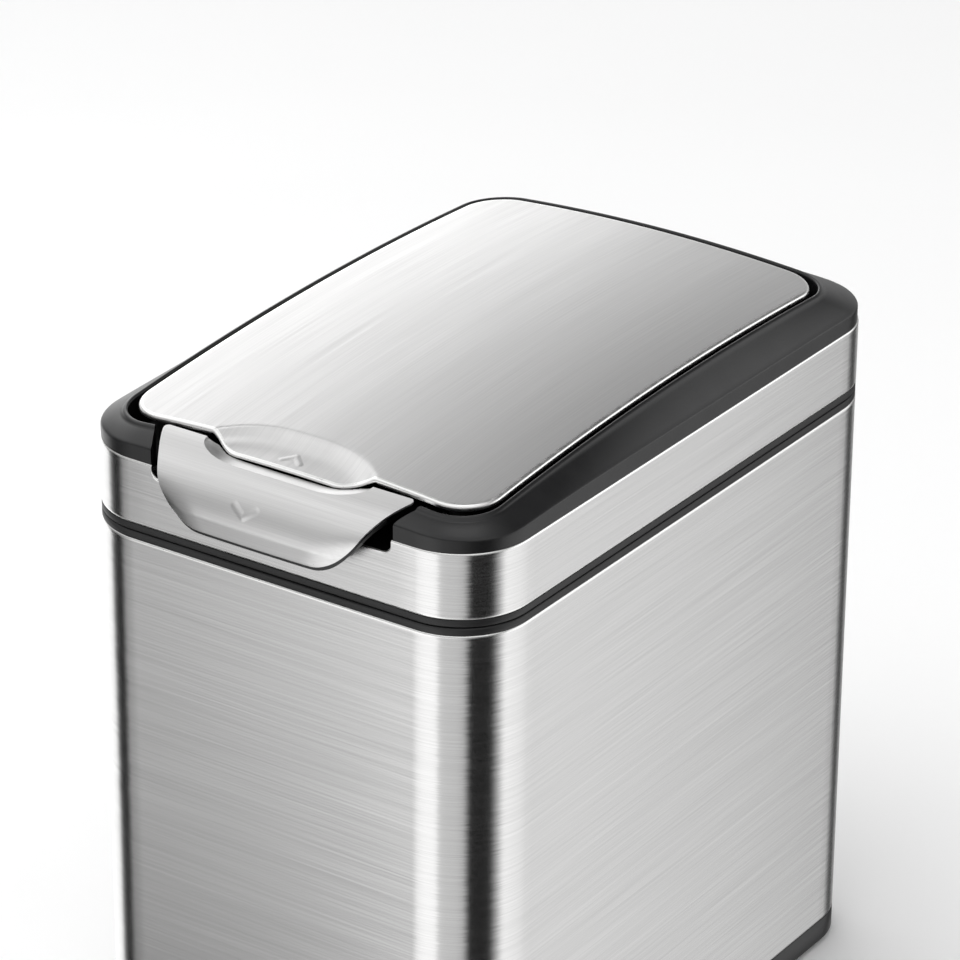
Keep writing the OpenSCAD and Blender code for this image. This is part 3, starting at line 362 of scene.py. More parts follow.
class Mould:
    """Gathers points, in millimetres from the body's centre line, and faces, and casts them as one object."""

    def __init__(self):
        self.points = []
        self.faces = []
        self.finishes = []

    def add(self, points, faces, finishes=None):
        first = len(self.points)
        self.points += [tuple(p) for p in points]
        self.faces += [tuple(first + i for i in face) for face in faces]
        self.finishes += finishes or [0] * len(faces)

    def loft(self, rings, closed=True, joined=False, caps=False, highlight_rows=()):
        """Skin over rings of like count; joined ties the last ring to the first, caps closes both ends.
        Highlight rows, counted from the first ring, get the second finish, whose paler colour is a painted
        highlight."""
        count, rows = len(rings[0]), len(rings)
        faces, finishes = [], []
        for k in range(rows if joined else rows - 1):
            for i in range(count if closed else count - 1):
                here, there, on = k * count, (k + 1) % rows * count, (i + 1) % count
                faces.append((here + i, here + on, there + on, there + i))
                finishes.append(int(k in highlight_rows))
        if caps:
            faces.append(tuple(reversed(range(count))))
            faces.append(tuple((rows - 1) * count + i for i in range(count)))
            finishes += [0, 0]
        self.add([p for ring in rings for p in ring], faces, finishes)

    def turned(self, profile, place, steps=40, hollow=False):
        """Upright turned shape: profile is (radius, height) pairs above a place."""
        rings = []
        for radius, height in profile:
            ring = []
            for i in range(steps):
                a = 2 * math.pi * i / steps
                u, v = radius * math.cos(a), radius * math.sin(a)
                ring.append(tuple(p + q for p, q in zip(place, (u, v, height))))
            rings.append(ring)
        self.loft(rings, joined=hollow, caps=not hollow)

    def block(self, low, high):
        x0, y0, z0 = low
        x1, y1, z1 = high
        corners = [(x, y, z) for z in (z0, z1) for x, y in ((x0, y0), (x1, y0), (x1, y1), (x0, y1))]
        sides = [(i, (i + 1) % 4, (i + 1) % 4 + 4, i + 4) for i in range(4)]
        self.add(corners, [(3, 2, 1, 0), (4, 5, 6, 7)] + sides)

    def plate(self, loops, z0, z1):
        """Flat plate between two heights; the first loop is its outline, and the others are its holes."""
        flat = [[Vector((x, y, 0)) for x, y in loop] for loop in loops]
        triangles = tessellate_polygon(flat)
        points = [p for loop in loops for p in loop]
        count = len(points)
        faces = [tuple(t) for t in triangles] + [tuple(count + i for i in reversed(t)) for t in triangles]
        start = 0
        for loop in loops:
            for i in range(len(loop)):
                a, b = start + i, start + (i + 1) % len(loop)
                faces.append((a, b, count + b, count + a))
            start += len(loop)
        self.add([(x, y, z0) for x, y in points] + [(x, y, z1) for x, y in points], faces)

    def cast(self, name, recalc=True):
        """The mesh object, in metres in the frame that the CAD uses; recalc turns its faces outwards."""
        weld, sliver = 1e-6, 1e-7
        mesh = bpy.data.meshes.new(name)
        mesh.from_pydata([(x * MM, (y + CENTRE_Y) * MM, z * MM) for x, y, z in self.points], [], self.faces)
        mesh.polygons.foreach_set("material_index", self.finishes)
        soft = bmesh.new()
        soft.from_mesh(mesh)
        bmesh.ops.remove_doubles(soft, verts=soft.verts, dist=weld)
        bmesh.ops.dissolve_degenerate(soft, edges=soft.edges, dist=sliver)
        if recalc:
            bmesh.ops.recalc_face_normals(soft, faces=soft.faces)
        soft.to_mesh(mesh)
        soft.free()
        mesh.validate()
        obj = bpy.data.objects.new(name, mesh)
        bpy.context.scene.collection.objects.link(obj)
        return obj


def soften(obj, sharp):
    """Smooth shading that breaks at edges sharper than an angle."""
    obj.data.polygons.foreach_set("use_smooth", [True] * len(obj.data.polygons))
    obj.data.set_sharp_from_angle(angle=math.radians(sharp))
    obj.data.update()


def round_edges(obj, width, angle=40, segments=2):
    """Rounds edges sharper than an angle, over a width in millimetres."""
    bevel = obj.modifiers.new("rounded edges", "BEVEL")
    bevel.width = width * MM
    bevel.segments = segments
    bevel.limit_method = "ANGLE"
    bevel.angle_limit = math.radians(angle)


def carve(obj, cutter):
    """Cuts one object with another, and throws the cutter away."""
    cut = obj.modifiers.new("cut", "BOOLEAN")
    cut.object = cutter
    cut.operation = "DIFFERENCE"
    cut.solver = "EXACT"
    depsgraph = bpy.context.evaluated_depsgraph_get()
    mesh = bpy.data.meshes.new_from_object(obj.evaluated_get(depsgraph))
    obj.modifiers.clear()
    old = obj.data
    obj.data = mesh
    bpy.data.meshes.remove(old)
    bpy.data.objects.remove(cutter)


def place(obj, body, slot, finish, replaces=(), sharp=38, rounded=0.0, edge=None):
    """Gives a finished piece its material, and its edges theirs (a paler steel, as a painted highlight), and
    its place in the assembly.
    """
    obj.data.materials.append(finish)
    if edge:
        obj.data.materials.append(edge)
    soften(obj, sharp)
    if rounded:
        round_edges(obj, rounded)
    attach(obj, body)
    if replaces:
        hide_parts(*replaces)
    return obj


def dress(node, finish, rounded=0.12):
    """Gives a CAD node its finish, and rounds its edges a little."""
    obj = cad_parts[node]
    obj.data.materials.clear()
    obj.data.materials.append(finish)
    obj.data.polygons.foreach_set("use_smooth", [True] * len(obj.data.polygons))
    weld = obj.modifiers.new("one skin", "WELD")
    weld.merge_threshold = 0.002 * MM
    round_edges(obj, rounded, angle=35)
    part = obj.modifiers.new("crisp where sharp", "EDGE_SPLIT")
    part.split_angle = math.radians(38)


# Finishes


class Nodes:
    """A short way to lay out the nodes of a material or of the world."""

    def __init__(self, tree):
        self.tree = tree

    def new(self, kind, links=(), **values):
        node = self.tree.nodes.new(kind)
        for name, value in values.items():
            setattr(node, name, value)
        for name, value in dict(links).items():
            socket = node.inputs[name]
            if isinstance(value, bpy.types.NodeSocket):
                self.tree.links.new(value, socket)
            else:
                socket.default_value = value
        return node

    def vector(self, operation, links):
        return self.new("ShaderNodeVectorMath", links, operation=operation).outputs[0]

    def streaks(self, place, scale, detail=2.0, roughness=0.5):
        """Noise drawn out by a different scale along each axis."""
        drawn = self.vector("MULTIPLY", {0: place, 1: scale})
        noise = self.new("ShaderNodeTexNoise", {"Vector": drawn, "Scale": 1.0, "Detail": detail,
                                                "Roughness": roughness})
        return noise.outputs["Fac"]

    def stretch(self, value, low, high, to_low, to_high):
        """Maps the range from low to high onto another, and holds it there."""
        spread = self.new("ShaderNodeMapRange", {"Value": value, "From Min": low, "From Max": high,
                                                 "To Min": to_low, "To Max": to_high})
        return spread.outputs["Result"]

    def step(self, value, start, end):
        """Eased step from 0 at the start to 1 at the end."""
        spread = self.new("ShaderNodeMapRange", {"Value": value, "From Min": start, "From Max": end},
                          interpolation_type="SMOOTHSTEP")
        return spread.outputs["Result"]

    def times(self, a, b):
        return self.new("ShaderNodeMath", {0: a, 1: b}, operation="MULTIPLY").outputs[0]

    def plus(self, a, b):
        return self.new("ShaderNodeMath", {0: a, 1: b}, operation="ADD").outputs[0]

    def tinted(self, colour, factor):
        """A colour made lighter or darker by a factor."""
        return self.vector("SCALE", {0: tuple(colour)[:3], "Scale": factor})


def material(name):
    """A material with its nodes and principled shader; both are None if it is there already."""
    known = bpy.data.materials.get(name)
    if known:
        return known, None, None
    made = bpy.data.materials.new(name)
    made.use_nodes = True
    nodes = Nodes(made.node_tree)
    return made, nodes, made.node_tree.nodes["Principled BSDF"]


def link(nodes, value, socket):
    nodes.tree.links.new(value, socket)


def colours():
    return bpy.context.scene.bin_colours


def brushed_steel(name, along, roughness=(0.28, 0.33)):
    """Steel with its grain along one axis: x, y or round (level, whichever way the wall faces)."""
    made, nodes, shader = material(name)
    if nodes is None:
        return made
    place = nodes.new("ShaderNodeTexCoord").outputs["Object"]
    fine, long = 2600, 14
    scales = {"x": (long, fine, fine), "y": (fine, long, long), "round": (long, long, fine)}[along]
    coarse = tuple(s * (0.22 if s == fine else 0.6) for s in scales)
    wide = tuple(s * (0.045 if s == fine else 0.35) for s in scales)
    hair = nodes.streaks(place, scales, 2.0, 0.55)
    grain = nodes.streaks(place, coarse, 2.0, 0.5)
    cloud = nodes.streaks(place, wide, 2.0, 0.5)
    mixed = nodes.plus(nodes.times(hair, 0.65), nodes.plus(nodes.times(grain, 0.25), nodes.times(cloud, 0.1)))
    tint = nodes.stretch(mixed, 0.36, 0.64, 0.95, 1.04)
    link(nodes, nodes.tinted(colours().steel, tint), shader.inputs["Base Color"])
    link(nodes, nodes.stretch(mixed, 0.36, 0.64, roughness[1], roughness[0]), shader.inputs["Roughness"])
    shader.inputs["Metallic"].default_value = 1.0
    shader.inputs["Anisotropic"].default_value = 0.88
    shader.inputs["Anisotropic Rotation"].default_value = 0.25
    if along == "round":
        tangent = nodes.new("ShaderNodeTangent", direction_type="RADIAL", axis="Z")
    else:
        tangent = nodes.new("ShaderNodeVectorTransform", {"Vector": {"x": (1, 0, 0), "y": (0, 1, 0)}[along]},
                            vector_type="VECTOR", convert_from="OBJECT", convert_to="WORLD")
    link(nodes, tangent.outputs[0], shader.inputs["Tangent"])
    bump = nodes.new("ShaderNodeBump", {"Height": mixed, "Strength": 0.035, "Distance": 0.00003})
    if along == "round":
        # Each line of the grain leans a little to one side, so reflections fray along it
        facing = nodes.new("ShaderNodeNewGeometry").outputs["Normal"]
        level = nodes.vector("CROSS_PRODUCT", {0: facing, 1: (0, 0, 1)})
        most = 0.016
        lean = nodes.stretch(nodes.streaks(place, (12, 12, 2200), 2.0, 0.6), 0.3, 0.7, -most, most)
        leaning = nodes.vector("SCALE", {0: level, "Scale": lean})
        facing = nodes.vector("NORMALIZE", {0: nodes.vector("ADD", {0: facing, 1: leaning})})
        link(nodes, facing, bump.inputs["Normal"])
    link(nodes, bump.outputs[0], shader.inputs["Normal"])
    return made


def moulded_plastic(name, colour, roughness, texture=0.00002, scale=2400.0):
    """Moulded plastic with a fine spark-eroded texture and slight clouding."""
    made, nodes, shader = material(name)
    if nodes is None:
        return made
    place = nodes.new("ShaderNodeTexCoord").outputs["Object"]
    grit = nodes.streaks(place, (scale, scale, scale), 2.0, 0.6)
    cloud = nodes.streaks(place, (60, 60, 60), 3.0, 0.55)
    link(nodes, nodes.tinted(colour, nodes.stretch(cloud, 0.3, 0.7, 0.9, 1.12)), shader.inputs["Base Color"])
    worn = nodes.plus(nodes.times(grit, 0.5), nodes.times(cloud, 0.5))
    link(nodes, nodes.stretch(worn, 0.35, 0.65, *roughness), shader.inputs["Roughness"])
    bump = nodes.new("ShaderNodeBump", {"Height": grit, "Strength": 0.5, "Distance": texture})
    link(nodes, bump.outputs[0], shader.inputs["Normal"])
    return made


def zinc_plate():
    """Bright zinc plating with faint spangle."""
    made, nodes, shader = material("zinc plate")
    if nodes is None:
        return made
    place = nodes.new("ShaderNodeTexCoord").outputs["Object"]
    spangle = nodes.new("ShaderNodeTexVoronoi", {"Vector": place, "Scale": 700.0}).outputs["Distance"]
    cloud = nodes.streaks(place, (220, 220, 220), 3.0, 0.6)
    tint = nodes.plus(nodes.stretch(spangle, 0.0, 0.7, 0.9, 1.04), nodes.stretch(cloud, 0.3, 0.7, -0.1, 0.06))
    link(nodes, nodes.tinted((0.56, 0.58, 0.61), tint), shader.inputs["Base Color"])
    link(nodes, nodes.stretch(cloud, 0.3, 0.7, 0.3, 0.48), shader.inputs["Roughness"])
    shader.inputs["Metallic"].default_value = 1.0
    bump = nodes.new("ShaderNodeBump", {"Height": cloud, "Strength": 0.25, "Distance": 0.00003})
    link(nodes, bump.outputs[0], shader.inputs["Normal"])
    return made


def painted_highlight_edge():
    """Steel for rolled edges, a little smoother than the sheet; its paler colour is a painted highlight along
    the edge.
    """
    made, nodes, shader = material("rolled edge, painted highlight")
    if nodes is None:
        return made
    place = nodes.new("ShaderNodeTexCoord").outputs["Object"]
    scuff = nodes.streaks(place, (260, 260, 900), 2.0, 0.5)
    tint = nodes.stretch(scuff, 0.3, 0.7, 0.96, 1.03)
    link(nodes, nodes.tinted((0.93, 0.93, 0.92), tint), shader.inputs["Base Color"])
    link(nodes, nodes.stretch(scuff, 0.3, 0.7, 0.26, 0.36), shader.inputs["Roughness"])
    shader.inputs["Metallic"].default_value = 1.0
    return made


def steel_round():
    return brushed_steel("brushed steel, level grain", "round", roughness=(0.22, 0.26))


def steel_lid():
    return brushed_steel("brushed steel, lid", "y")


def steel_plate():
    return brushed_steel("brushed steel, push plate", "x")


def black_plastic():
    return moulded_plastic("black plastic", colours().plastic, (0.3, 0.4))


def matt_plastic():
    return moulded_plastic("black plastic, matt inside", colours().plastic, (0.62, 0.74))


def trim_plastic():
    return moulded_plastic("trim plastic", colours().trim, (0.42, 0.52))


def bucket_plastic():
    return moulded_plastic("bucket plastic", colours().bucket, (0.38, 0.5), 0.00003, 1500.0)


def rubber():
    return moulded_plastic("rubber", colours().rubber, (0.68, 0.82), 0.00003, 1800.0)


def acetal():
    return moulded_plastic("acetal", (0.72, 0.70, 0.64), (0.3, 0.38), 0.00001, 1500.0)


# Pieces of the body


def swept(d, profile, **counts):
    """Closed profile of (inset, height) pairs taken round the body's outline."""
    return [raised(d.body(inset, **counts), z) for inset, z in profile]


class BIN_OT_body(bpy.types.Operator):
    """Steel sleeve of the body, with rolled upper edge and the flange folded in at its foot"""

    bl_idname = "bin.body"
    bl_label = "Body sleeve"

    def execute(self, context):
        d = Drawing()
        t, foot, top = d.sheet, d.sleeve_foot, d.sleeve_top
        flange = 12
        outside = [
            (0.55, foot), (0.25, foot + 0.1), (0.08, foot + 0.3), (0, foot + 0.6), (0, foot + 1.4),
            (0, foot + 4), (0, foot + 60), (0, foot + 112), (0, foot + 165), (0, top - 4), (0, top - 1.8)]
        rolled = [
            (0, top - 1.0), (0.04, top - 0.68), (0.16, top - 0.38), (0.36, top - 0.14), (0.62, top - 0.02)]
        inside = [
            (t, top - 0.15), (t + 0.1, top - 0.5), (t, top - 1.2), (t, top - 2), (t, top - 6),
            (t, foot + t + 6), (t, foot + t + 2), (t, foot + t + 0.9), (t + 0.25, foot + t + 0.3),
            (t + 0.9, foot + t), (t + flange, foot + t), (t + flange, foot)]
        # The rolled edge takes the paler edge steel: a painted highlight along the sleeve's top
        highlight_rows = range(len(outside), len(outside) + len(rolled))
        sleeve = Mould()
        sleeve.loft(swept(d, outside + rolled + inside), joined=True, highlight_rows=highlight_rows)
        place(sleeve.cast("body_sleeve_sheet"), "bin_body", "brushed_steel", steel_round(), ["body_sleeve"],
              edge=painted_highlight_edge())
        return {"FINISHED"}


class BIN_OT_rings(bpy.types.Operator):
    """Two trim rings that meet at the seam between body and head, each with its skirt"""

    bl_idname = "bin.rings"
    bl_label = "Trim rings"

    def execute(self, context):
        d = Drawing()
        low, seam, high = d.sleeve_top, d.seam, d.band_foot
        skirt_out, skirt_in, skirt_foot = d.sheet + 0.1, d.sheet + 1.75, low - 14
        lower = [
            (0.5, low + 0.02), (0.2, low + 0.12), (0.08, low + 0.4),
            (0.08, seam - 0.75), (0.2, seam - 0.45), (0.5, seam - 0.22), (1.0, seam - 0.12),
            (skirt_in - 0.2, seam - 0.02), (skirt_in, seam - 0.2),
            (skirt_in, skirt_foot), (skirt_out, skirt_foot), (skirt_out, low + 0.02)]
        ring = Mould()
        ring.loft(swept(d, lower), joined=True)
        place(ring.cast("sleeve_trim_ring"), "bin_body", "black_plastic", trim_plastic(), ["sleeve_top_ring"])
        skirt_out, skirt_in, skirt_foot, shelf = 2.9, 4.9, seam - 11, 16
        upper = [
            (skirt_out, seam + 0.02), (1.0, seam + 0.12), (0.5, seam + 0.22), (0.2, seam + 0.45),
            (0.08, seam + 0.75), (0.08, high - 0.4), (0.2, high - 0.12), (0.5, high - 0.02),
            (shelf - 0.5, high - 0.02), (shelf, high - 0.4), (shelf, seam + 0.4), (shelf - 0.4, seam),
            (skirt_in, seam), (skirt_in, skirt_foot + 0.4), (skirt_in - 0.4, skirt_foot),
            (skirt_out + 0.4, skirt_foot), (skirt_out, skirt_foot + 0.4)]
        ring = Mould()
        ring.loft(swept(d, upper), joined=True)
        place(ring.cast("head_trim_ring"), "head", "black_plastic", trim_plastic(), ["head_bottom_ring"])
        return {"FINISHED"}


class BIN_OT_base(bpy.types.Operator):
    """Base tray that closes the sleeve, its bosses and ribs, and the screws that hold it"""

    bl_idname = "bin.base"
    bl_label = "Base tray"

    def execute(self, context):
        d = Drawing()
        foot, top, plate, wall = 2.0, d.sleeve_foot, 3.5, 3
        under = top - plate + 0.1
        profile = [
            (0.9, foot), (0.3, foot + 0.3), (0.0, foot + 0.9), (0, top - 0.5), (0.15, top - 0.12), (0.5, top),
            (wall, top), (wall, foot + 0.3), (wall - 0.3, foot)]
        tray = Mould()
        tray.loft(swept(d, profile), joined=True)
        hole = outline(4.2, 4.2, 0, 2.05, front=1, side=1, rear=1, corner=8)
        screws = [(sx * (d.width / 2 - 7), sy * d.depth / 4) for sx in (-1, 1) for sy in (-1, 1)]
        loops = [d.body(wall - 0.4)] + [[(x + px, y + py) for x, y in reversed(hole)] for px, py in screws]
        tray.plate(loops, top - plate, top)
        socket, socket_wall = 10.1, 1.9
        for x, y in d.feet().values():
            tray.turned([(socket + socket_wall, foot + 0.2), (socket + socket_wall, under), (socket, under),
                         (socket, foot)], (x, y, 0), hollow=True)
        half_rib, rib_foot = 0.8, foot + 1.5
        end_x, end_y = d.width / 2 - wall, d.depth / 2 - wall
        for x in (-45, -15, 15, 45):
            tray.block((x - half_rib, -end_y, rib_foot), (x + half_rib, end_y, under))
        for y in (-70, -24, 24, 70):
            tray.block((-end_x, y - half_rib, rib_foot), (end_x, y + half_rib, under))
        place(tray.cast("base_tray_moulding"), "bin_body", "black_plastic", black_plastic(), ["base_tray"])
        dress("base_screws", zinc_plate())
        dress("clinch_nuts", zinc_plate())
        return {"FINISHED"}


class BIN_OT_feet(bpy.types.Operator):
    """Four rubber feet with a grooved tread"""

    bl_idname = "bin.feet"
    bl_label = "Feet"

    def execute(self, context):
        # Grooved tread, rounded side, then the peg that holds the foot in the tray
        tread = [(0.4, 0.5), (3.0, 0.5), (3.3, 0.0), (5.4, 0.0), (5.7, 0.5), (6.5, 0.5), (6.8, 0.0),
                 (8.9, 0.0), (9.5, 0.25), (9.85, 0.7), (10, 1.3), (10, 3.4)]
        peg = [(3.1, 3.5), (3.0, 7.2), (2.6, 7.5), (0.4, 7.5)]
        for name, (x, y) in Drawing().feet().items():
            foot = Mould()
            foot.turned(tread + peg, (x, y, 0), steps=48)
            place(foot.cast(f"{name}_tread"), "bin_body", "rubber", rubber(), [name])
        return {"FINISHED"}


class BIN_OT_bucket(bpy.types.Operator):
    """Lift-out bucket with a rounded foot, a rolled rim and two finger slots"""

    bl_idname = "bin.bucket"
    bl_label = "Bucket"

    def execute(self, context):
        d = Drawing()
        foot, top, t = d.sleeve_foot, d.bucket_top, 2.0
        # How far the wall stands inside the body's outline at its foot and under its rim
        low, high = 17, 8
        levels = range(int(foot) + 30, int(top) - 10, 30)

        def inset(z):
            return lerp(low, high, (z - foot) / (top - 3 - foot))

        profile = [(low + 40, foot), (low + 10, foot), (low + 4.5, foot + 0.05), (low + 2.2, foot + 0.7),
                   (low + 0.7, foot + 2.2), (inset(foot + 4.5), foot + 4.5)]
        profile += [(inset(z), z) for z in levels]
        profile += [(high, top - 3.2), (high - 0.3, top - 3), (high - 2.7, top - 3), (high - 3, top - 2.6),
                    (high - 3, top - 1.1), (high - 2.6, top - 0.35), (high - 2, top - 0.03), (high - 1, top),
                    (high + 1.2, top - 0.1), (high + 1.8, top - 0.5), (high + t, top - 1.2)]
        profile += [(inset(z) + t, z) for z in reversed(levels)]
        profile += [(inset(foot + 6.5) + t, foot + 6.5), (low + 3.4, foot + 3.8),
                    (low + 6.2, foot + t + 0.15), (low + 12, foot + t), (low + 40, foot + t)]
        count = dict(front=40, side=60, rear=40, corner=20)

        def ring(inset):
            """Outline at an inset; past the corners' radius it shrinks as a whole instead."""
            tightest = 26
            if inset <= tightest:
                return d.body(inset, **count)
            return shrunk(d.body(tightest, **count), 1 - (inset - tightest) / 64, 0)

        bucket = Mould()
        bucket.loft([raised(ring(i), z) for i, z in profile], caps=True)
        shell = bucket.cast("bucket_moulding")
        slot = Mould()
        slot_height, slot_length, slot_below = 12, 72, 17
        ends = outline(slot_height, slot_length, 0, slot_height / 2, front=2, side=8, rear=2, corner=12)
        middle = top - slot_below
        slot.loft([[(x, y, middle + z) for z, y in ends] for x in (-d.width, d.width)], caps=True)
        carve(shell, slot.cast("slot cutter"))
        place(shell, "bucket", "bucket_plastic", bucket_plastic(), ["inner_bucket"], sharp=34, rounded=0.25)
        return {"FINISHED"}


# Pieces of the head


class BIN_OT_band(bpy.types.Operator):
    """Steel band round the head, with rolled edges and the notch that the push plate moves in"""

    bl_idname = "bin.band"
    bl_label = "Band"

    def execute(self, context):
        d = Drawing()
        half, deep, r = 52, 5, 4

        def notch(x):
            """Depth of the notch at a place along the front."""
            if abs(x) >= half:
                return 0
            past = max(0, abs(x) - (half - r))
            return deep - r + math.sqrt(r * r - past * past)

        # The notch's side stands on two points a hair apart
        curve = [half - r + r * math.sin(math.radians(a)) for a in range(0, 91, 9)]
        curve[-1] -= 0.01
        right = curve + [half, half + 0.4, half + 2]
        xs = [-x for x in reversed(right)] + [-44 + 4 * i for i in range(23)] + right
        low, top, t = d.band_foot, d.top, d.sheet
        edge = [(t, 0.3), (0.6, 0.04), (0.34, 0.08), (0.14, 0.3), (0.03, 0.62), (0, 1.0), (0, 1.8), (0, 4)]
        rolled = 5
        # Rows of both rolled edges take the paler edge steel: a painted highlight along the band's edges
        highlight_rows = [*range(rolled), *range(2 * len(edge) - rolled, 2 * len(edge) - 1)]
        rings = [raised(d.body(inset, front_xs=xs), low + rise) for inset, rise in edge]
        for inset, drop in reversed(edge):
            points = d.body(inset, front_xs=xs)
            rings.append([(x, y, top - drop - (notch(x) if y < d.front + 2 else 0)) for x, y in points])
        band = Mould()
        band.loft(rings, joined=True, highlight_rows=highlight_rows)
        place(band.cast("head_band_sheet"), "head", "brushed_steel", steel_round(), ["head_band"],
              edge=painted_highlight_edge())
        return {"FINISHED"}


class BIN_OT_bezel(bpy.types.Operator):
    """Black bezel: strip, slope, rounded rim, the lid's recess, the deck, the throat and the lever's well"""

    bl_idname = "bin.bezel"
    bl_label = "Bezel"

    def execute(self, context):
        d = Drawing()
        top, deck, deck_thick = d.top, d.deck, 2.5

        def strip(drop):
            """Height a drop below the upright strip's top."""
            return lambda x, y: top + d.strip(x, y) - drop

        def rim(drop):
            """Height a drop below the rim, which follows the lid's dome."""
            below_lid = 0.6
            return lambda x, y: top + d.dome(x, y) - below_lid - drop

        lower, upper = raised(d.body(1.1), strip(0)), raised(d.rim(-1.6), rim(1.1))

        def slope(share, proud):
            """Ring at a share of the way up the slope, which swells a little."""
            return [tuple(lerp(a, b, share) + proud * (k == 2) for k, (a, b) in enumerate(zip(p, q)))
                    for p, q in zip(lower, upper)]

        rings = [raised(d.body(0.5), top - 1.2)]
        rings += [raised(d.body(inset), strip(drop))
                  for inset, drop in ((0.5, 1.1), (0.54, 0.72), (0.68, 0.4), (0.9, 0.16))]
        rings += [slope(share, proud) for share, proud in (
            (0.03, 0.03), (0.12, 0.12), (0.3, 0.22), (0.5, 0.26), (0.7, 0.22), (0.88, 0.1))]
        rings += [raised(d.rim(inset), rim(drop)) for inset, drop in (
            (-1.7, 1.15), (-1.35, 0.65), (-0.95, 0.25), (-0.5, 0.06), (-0.1, 0.02), (0.25, 0.14),
            (0.52, 0.4), (0.68, 0.8), (0.7, 1.3))]
        rings += [raised(d.rim(inset), deck + rise) for inset, rise in (
            (0.7, 0.8), (0.9, 0.25), (1.4, 0), (1.4, -deck_thick), (-1.3, -deck_thick))]
        skirt_out, skirt_in = 1.0, 2.95
        rings += [raised(d.rim(-1.3), rim(3)), raised(d.body(skirt_in), strip(2.4)),
                  raised(d.body(skirt_in), d.band_foot), raised(d.body(skirt_out), d.band_foot),
                  raised(d.body(skirt_out), top - 1.4)]
        shell = Mould()
        shell.loft(rings, joined=True)
        bezel = shell.cast("bezel_moulding")
        pocket = Mould()
        flare = [(58.5, d.lid_front - 2.3), (57.2, d.lid_front - 5.2), (53.2, d.front + 2.2),
                 (52.1, d.front - 0.6), (52, d.front - 5)]
        plan = [(-x, y) for x, y in flare] + list(reversed(flare))
        pocket.plate([plan], top - 8, top + 30)
        carve(bezel, pocket.cast("pocket cutter"))
        round_edges(bezel, 0.3, angle=48)
        place(bezel, "head", "black_plastic", black_plastic(), ["top_frame"], sharp=42)

        inside = Mould()
        well_half, well_wall, well_rear = 53, 2, d.front + 42
        throat_width, throat_corner = 130, 6
        throat_low, throat_high = d.front + 48, d.front + 220
        middle, length = (throat_low + throat_high) / 2, throat_high - throat_low

        def throat(inset):
            return outline(throat_width - 2 * inset, length - 2 * inset, middle, throat_corner - inset,
                           front=4, side=4, rear=4, corner=8)

        # The deck's outline has a notch for the well
        edge = d.rim(1.2)
        low = edge[0][1]
        edge = [p for p in edge if p[1] > low + 0.01 or p[0] > well_half + 0.1]
        notch = [(-well_half - 0.01, low), (-well_half, well_rear), (well_half, well_rear), (well_half, low)]
        inside.plate([notch + edge, list(reversed(throat(0)))], deck - deck_thick, deck)
        inside.loft([raised(throat(inset), z) for inset, z in (
            (0, deck - 0.6), (0.35, deck - 0.1), (-2, deck), (-2, deck - 15.4), (-1.6, deck - 16),
            (-0.4, deck - 16), (0, deck - 15.6))], joined=True)
        floor, well_front, well_back = d.well_floor, d.front + 2, well_rear + well_wall
        outer = well_half + well_wall
        inside.block((-outer, well_front, floor - 2), (outer, well_back, floor))
        inside.block((-outer, well_front, floor - 1), (-well_half, well_back, deck - 0.2))
        inside.block((well_half, well_front, floor - 1), (outer, well_back, deck - 0.2))
        inside.block((1 - outer, well_rear, floor - 1), (outer - 1, well_back, deck - 0.2))
        # Screw bosses of the band and the hinge, bumper sockets and the pegs of the lever springs
        side, end = d.width / 2 - 7.6, d.depth / 2 - 7.6
        bosses = [(side, -d.depth / 4, 2), (side, d.depth / 4, 2), (60, -end, 2), (50, end, 5.5)]
        bracket_x, bracket_ys = 34, (d.pin_y - 12, d.pin_y - 4.5)
        bore = 1.3
        for sx in (-1, 1):
            for x, y, rise in bosses:
                inside.turned([(bore, d.band_foot), (2.5, d.band_foot), (2.7, d.band_foot + 0.3),
                               (2.7, top + rise), (bore, top + rise)], (sx * x, y, 0), steps=24)
            for y in bracket_ys:
                inside.turned([(bore, deck - 8), (3, deck - 8), (3, deck - 1), (bore, deck - 1)],
                              (sx * bracket_x, y, 0), steps=24)
            inside.turned([(1.6, deck - 1), (4.6, deck - 1), (4.3, deck + 0.6), (4.2, top + 5.1),
                           (3.8, top + 5.5), (1.6, top + 5.5)], (sx * d.bumper_x, d.bumper_y, 0), steps=32)
            inside.turned([(0.4, floor - 0.5), (1.9, floor - 0.5), (1.9, floor + 3.3), (1.4, floor + 4),
                           (0.4, floor + 4)], (sx * d.lever_spring_x, d.lever_spring_y, 0), steps=24)
        place(inside.cast("deck_moulding"), "head", "black_plastic", matt_plastic(), ["top_frame"],
              rounded=0.2)
        dress("head_screws", zinc_plate())
        return {"FINISHED"}


class BIN_OT_bumpers(bpy.types.Operator):
    """Rubber bumpers that the closed lid rests on"""

    bl_idname = "bin.bumpers"
    bl_label = "Lid bumpers"

    def execute(self, context):
        d = Drawing()
        for hand, sx in (("left", -1), ("right", 1)):
            name = f"lid_bumper_{hand}"
            high = millimetres(name)[1].z
            low = d.top + 5.5
            stem = [(0.3, low - 3), (1.3, low - 3), (1.5, low - 2.7), (1.5, low)]
            pad = [(3.0, low), (3.2, low + 0.3), (3.2, high - 0.9), (2.9, high - 0.35), (2.3, high - 0.06),
                   (0.3, high)]
            bumper = Mould()
            bumper.turned(stem + pad, (sx * d.bumper_x, d.bumper_y, 0), steps=32)
            place(bumper.cast(f"{name}_pad"), "head", "rubber", rubber(), [name])
        return {"FINISHED"}


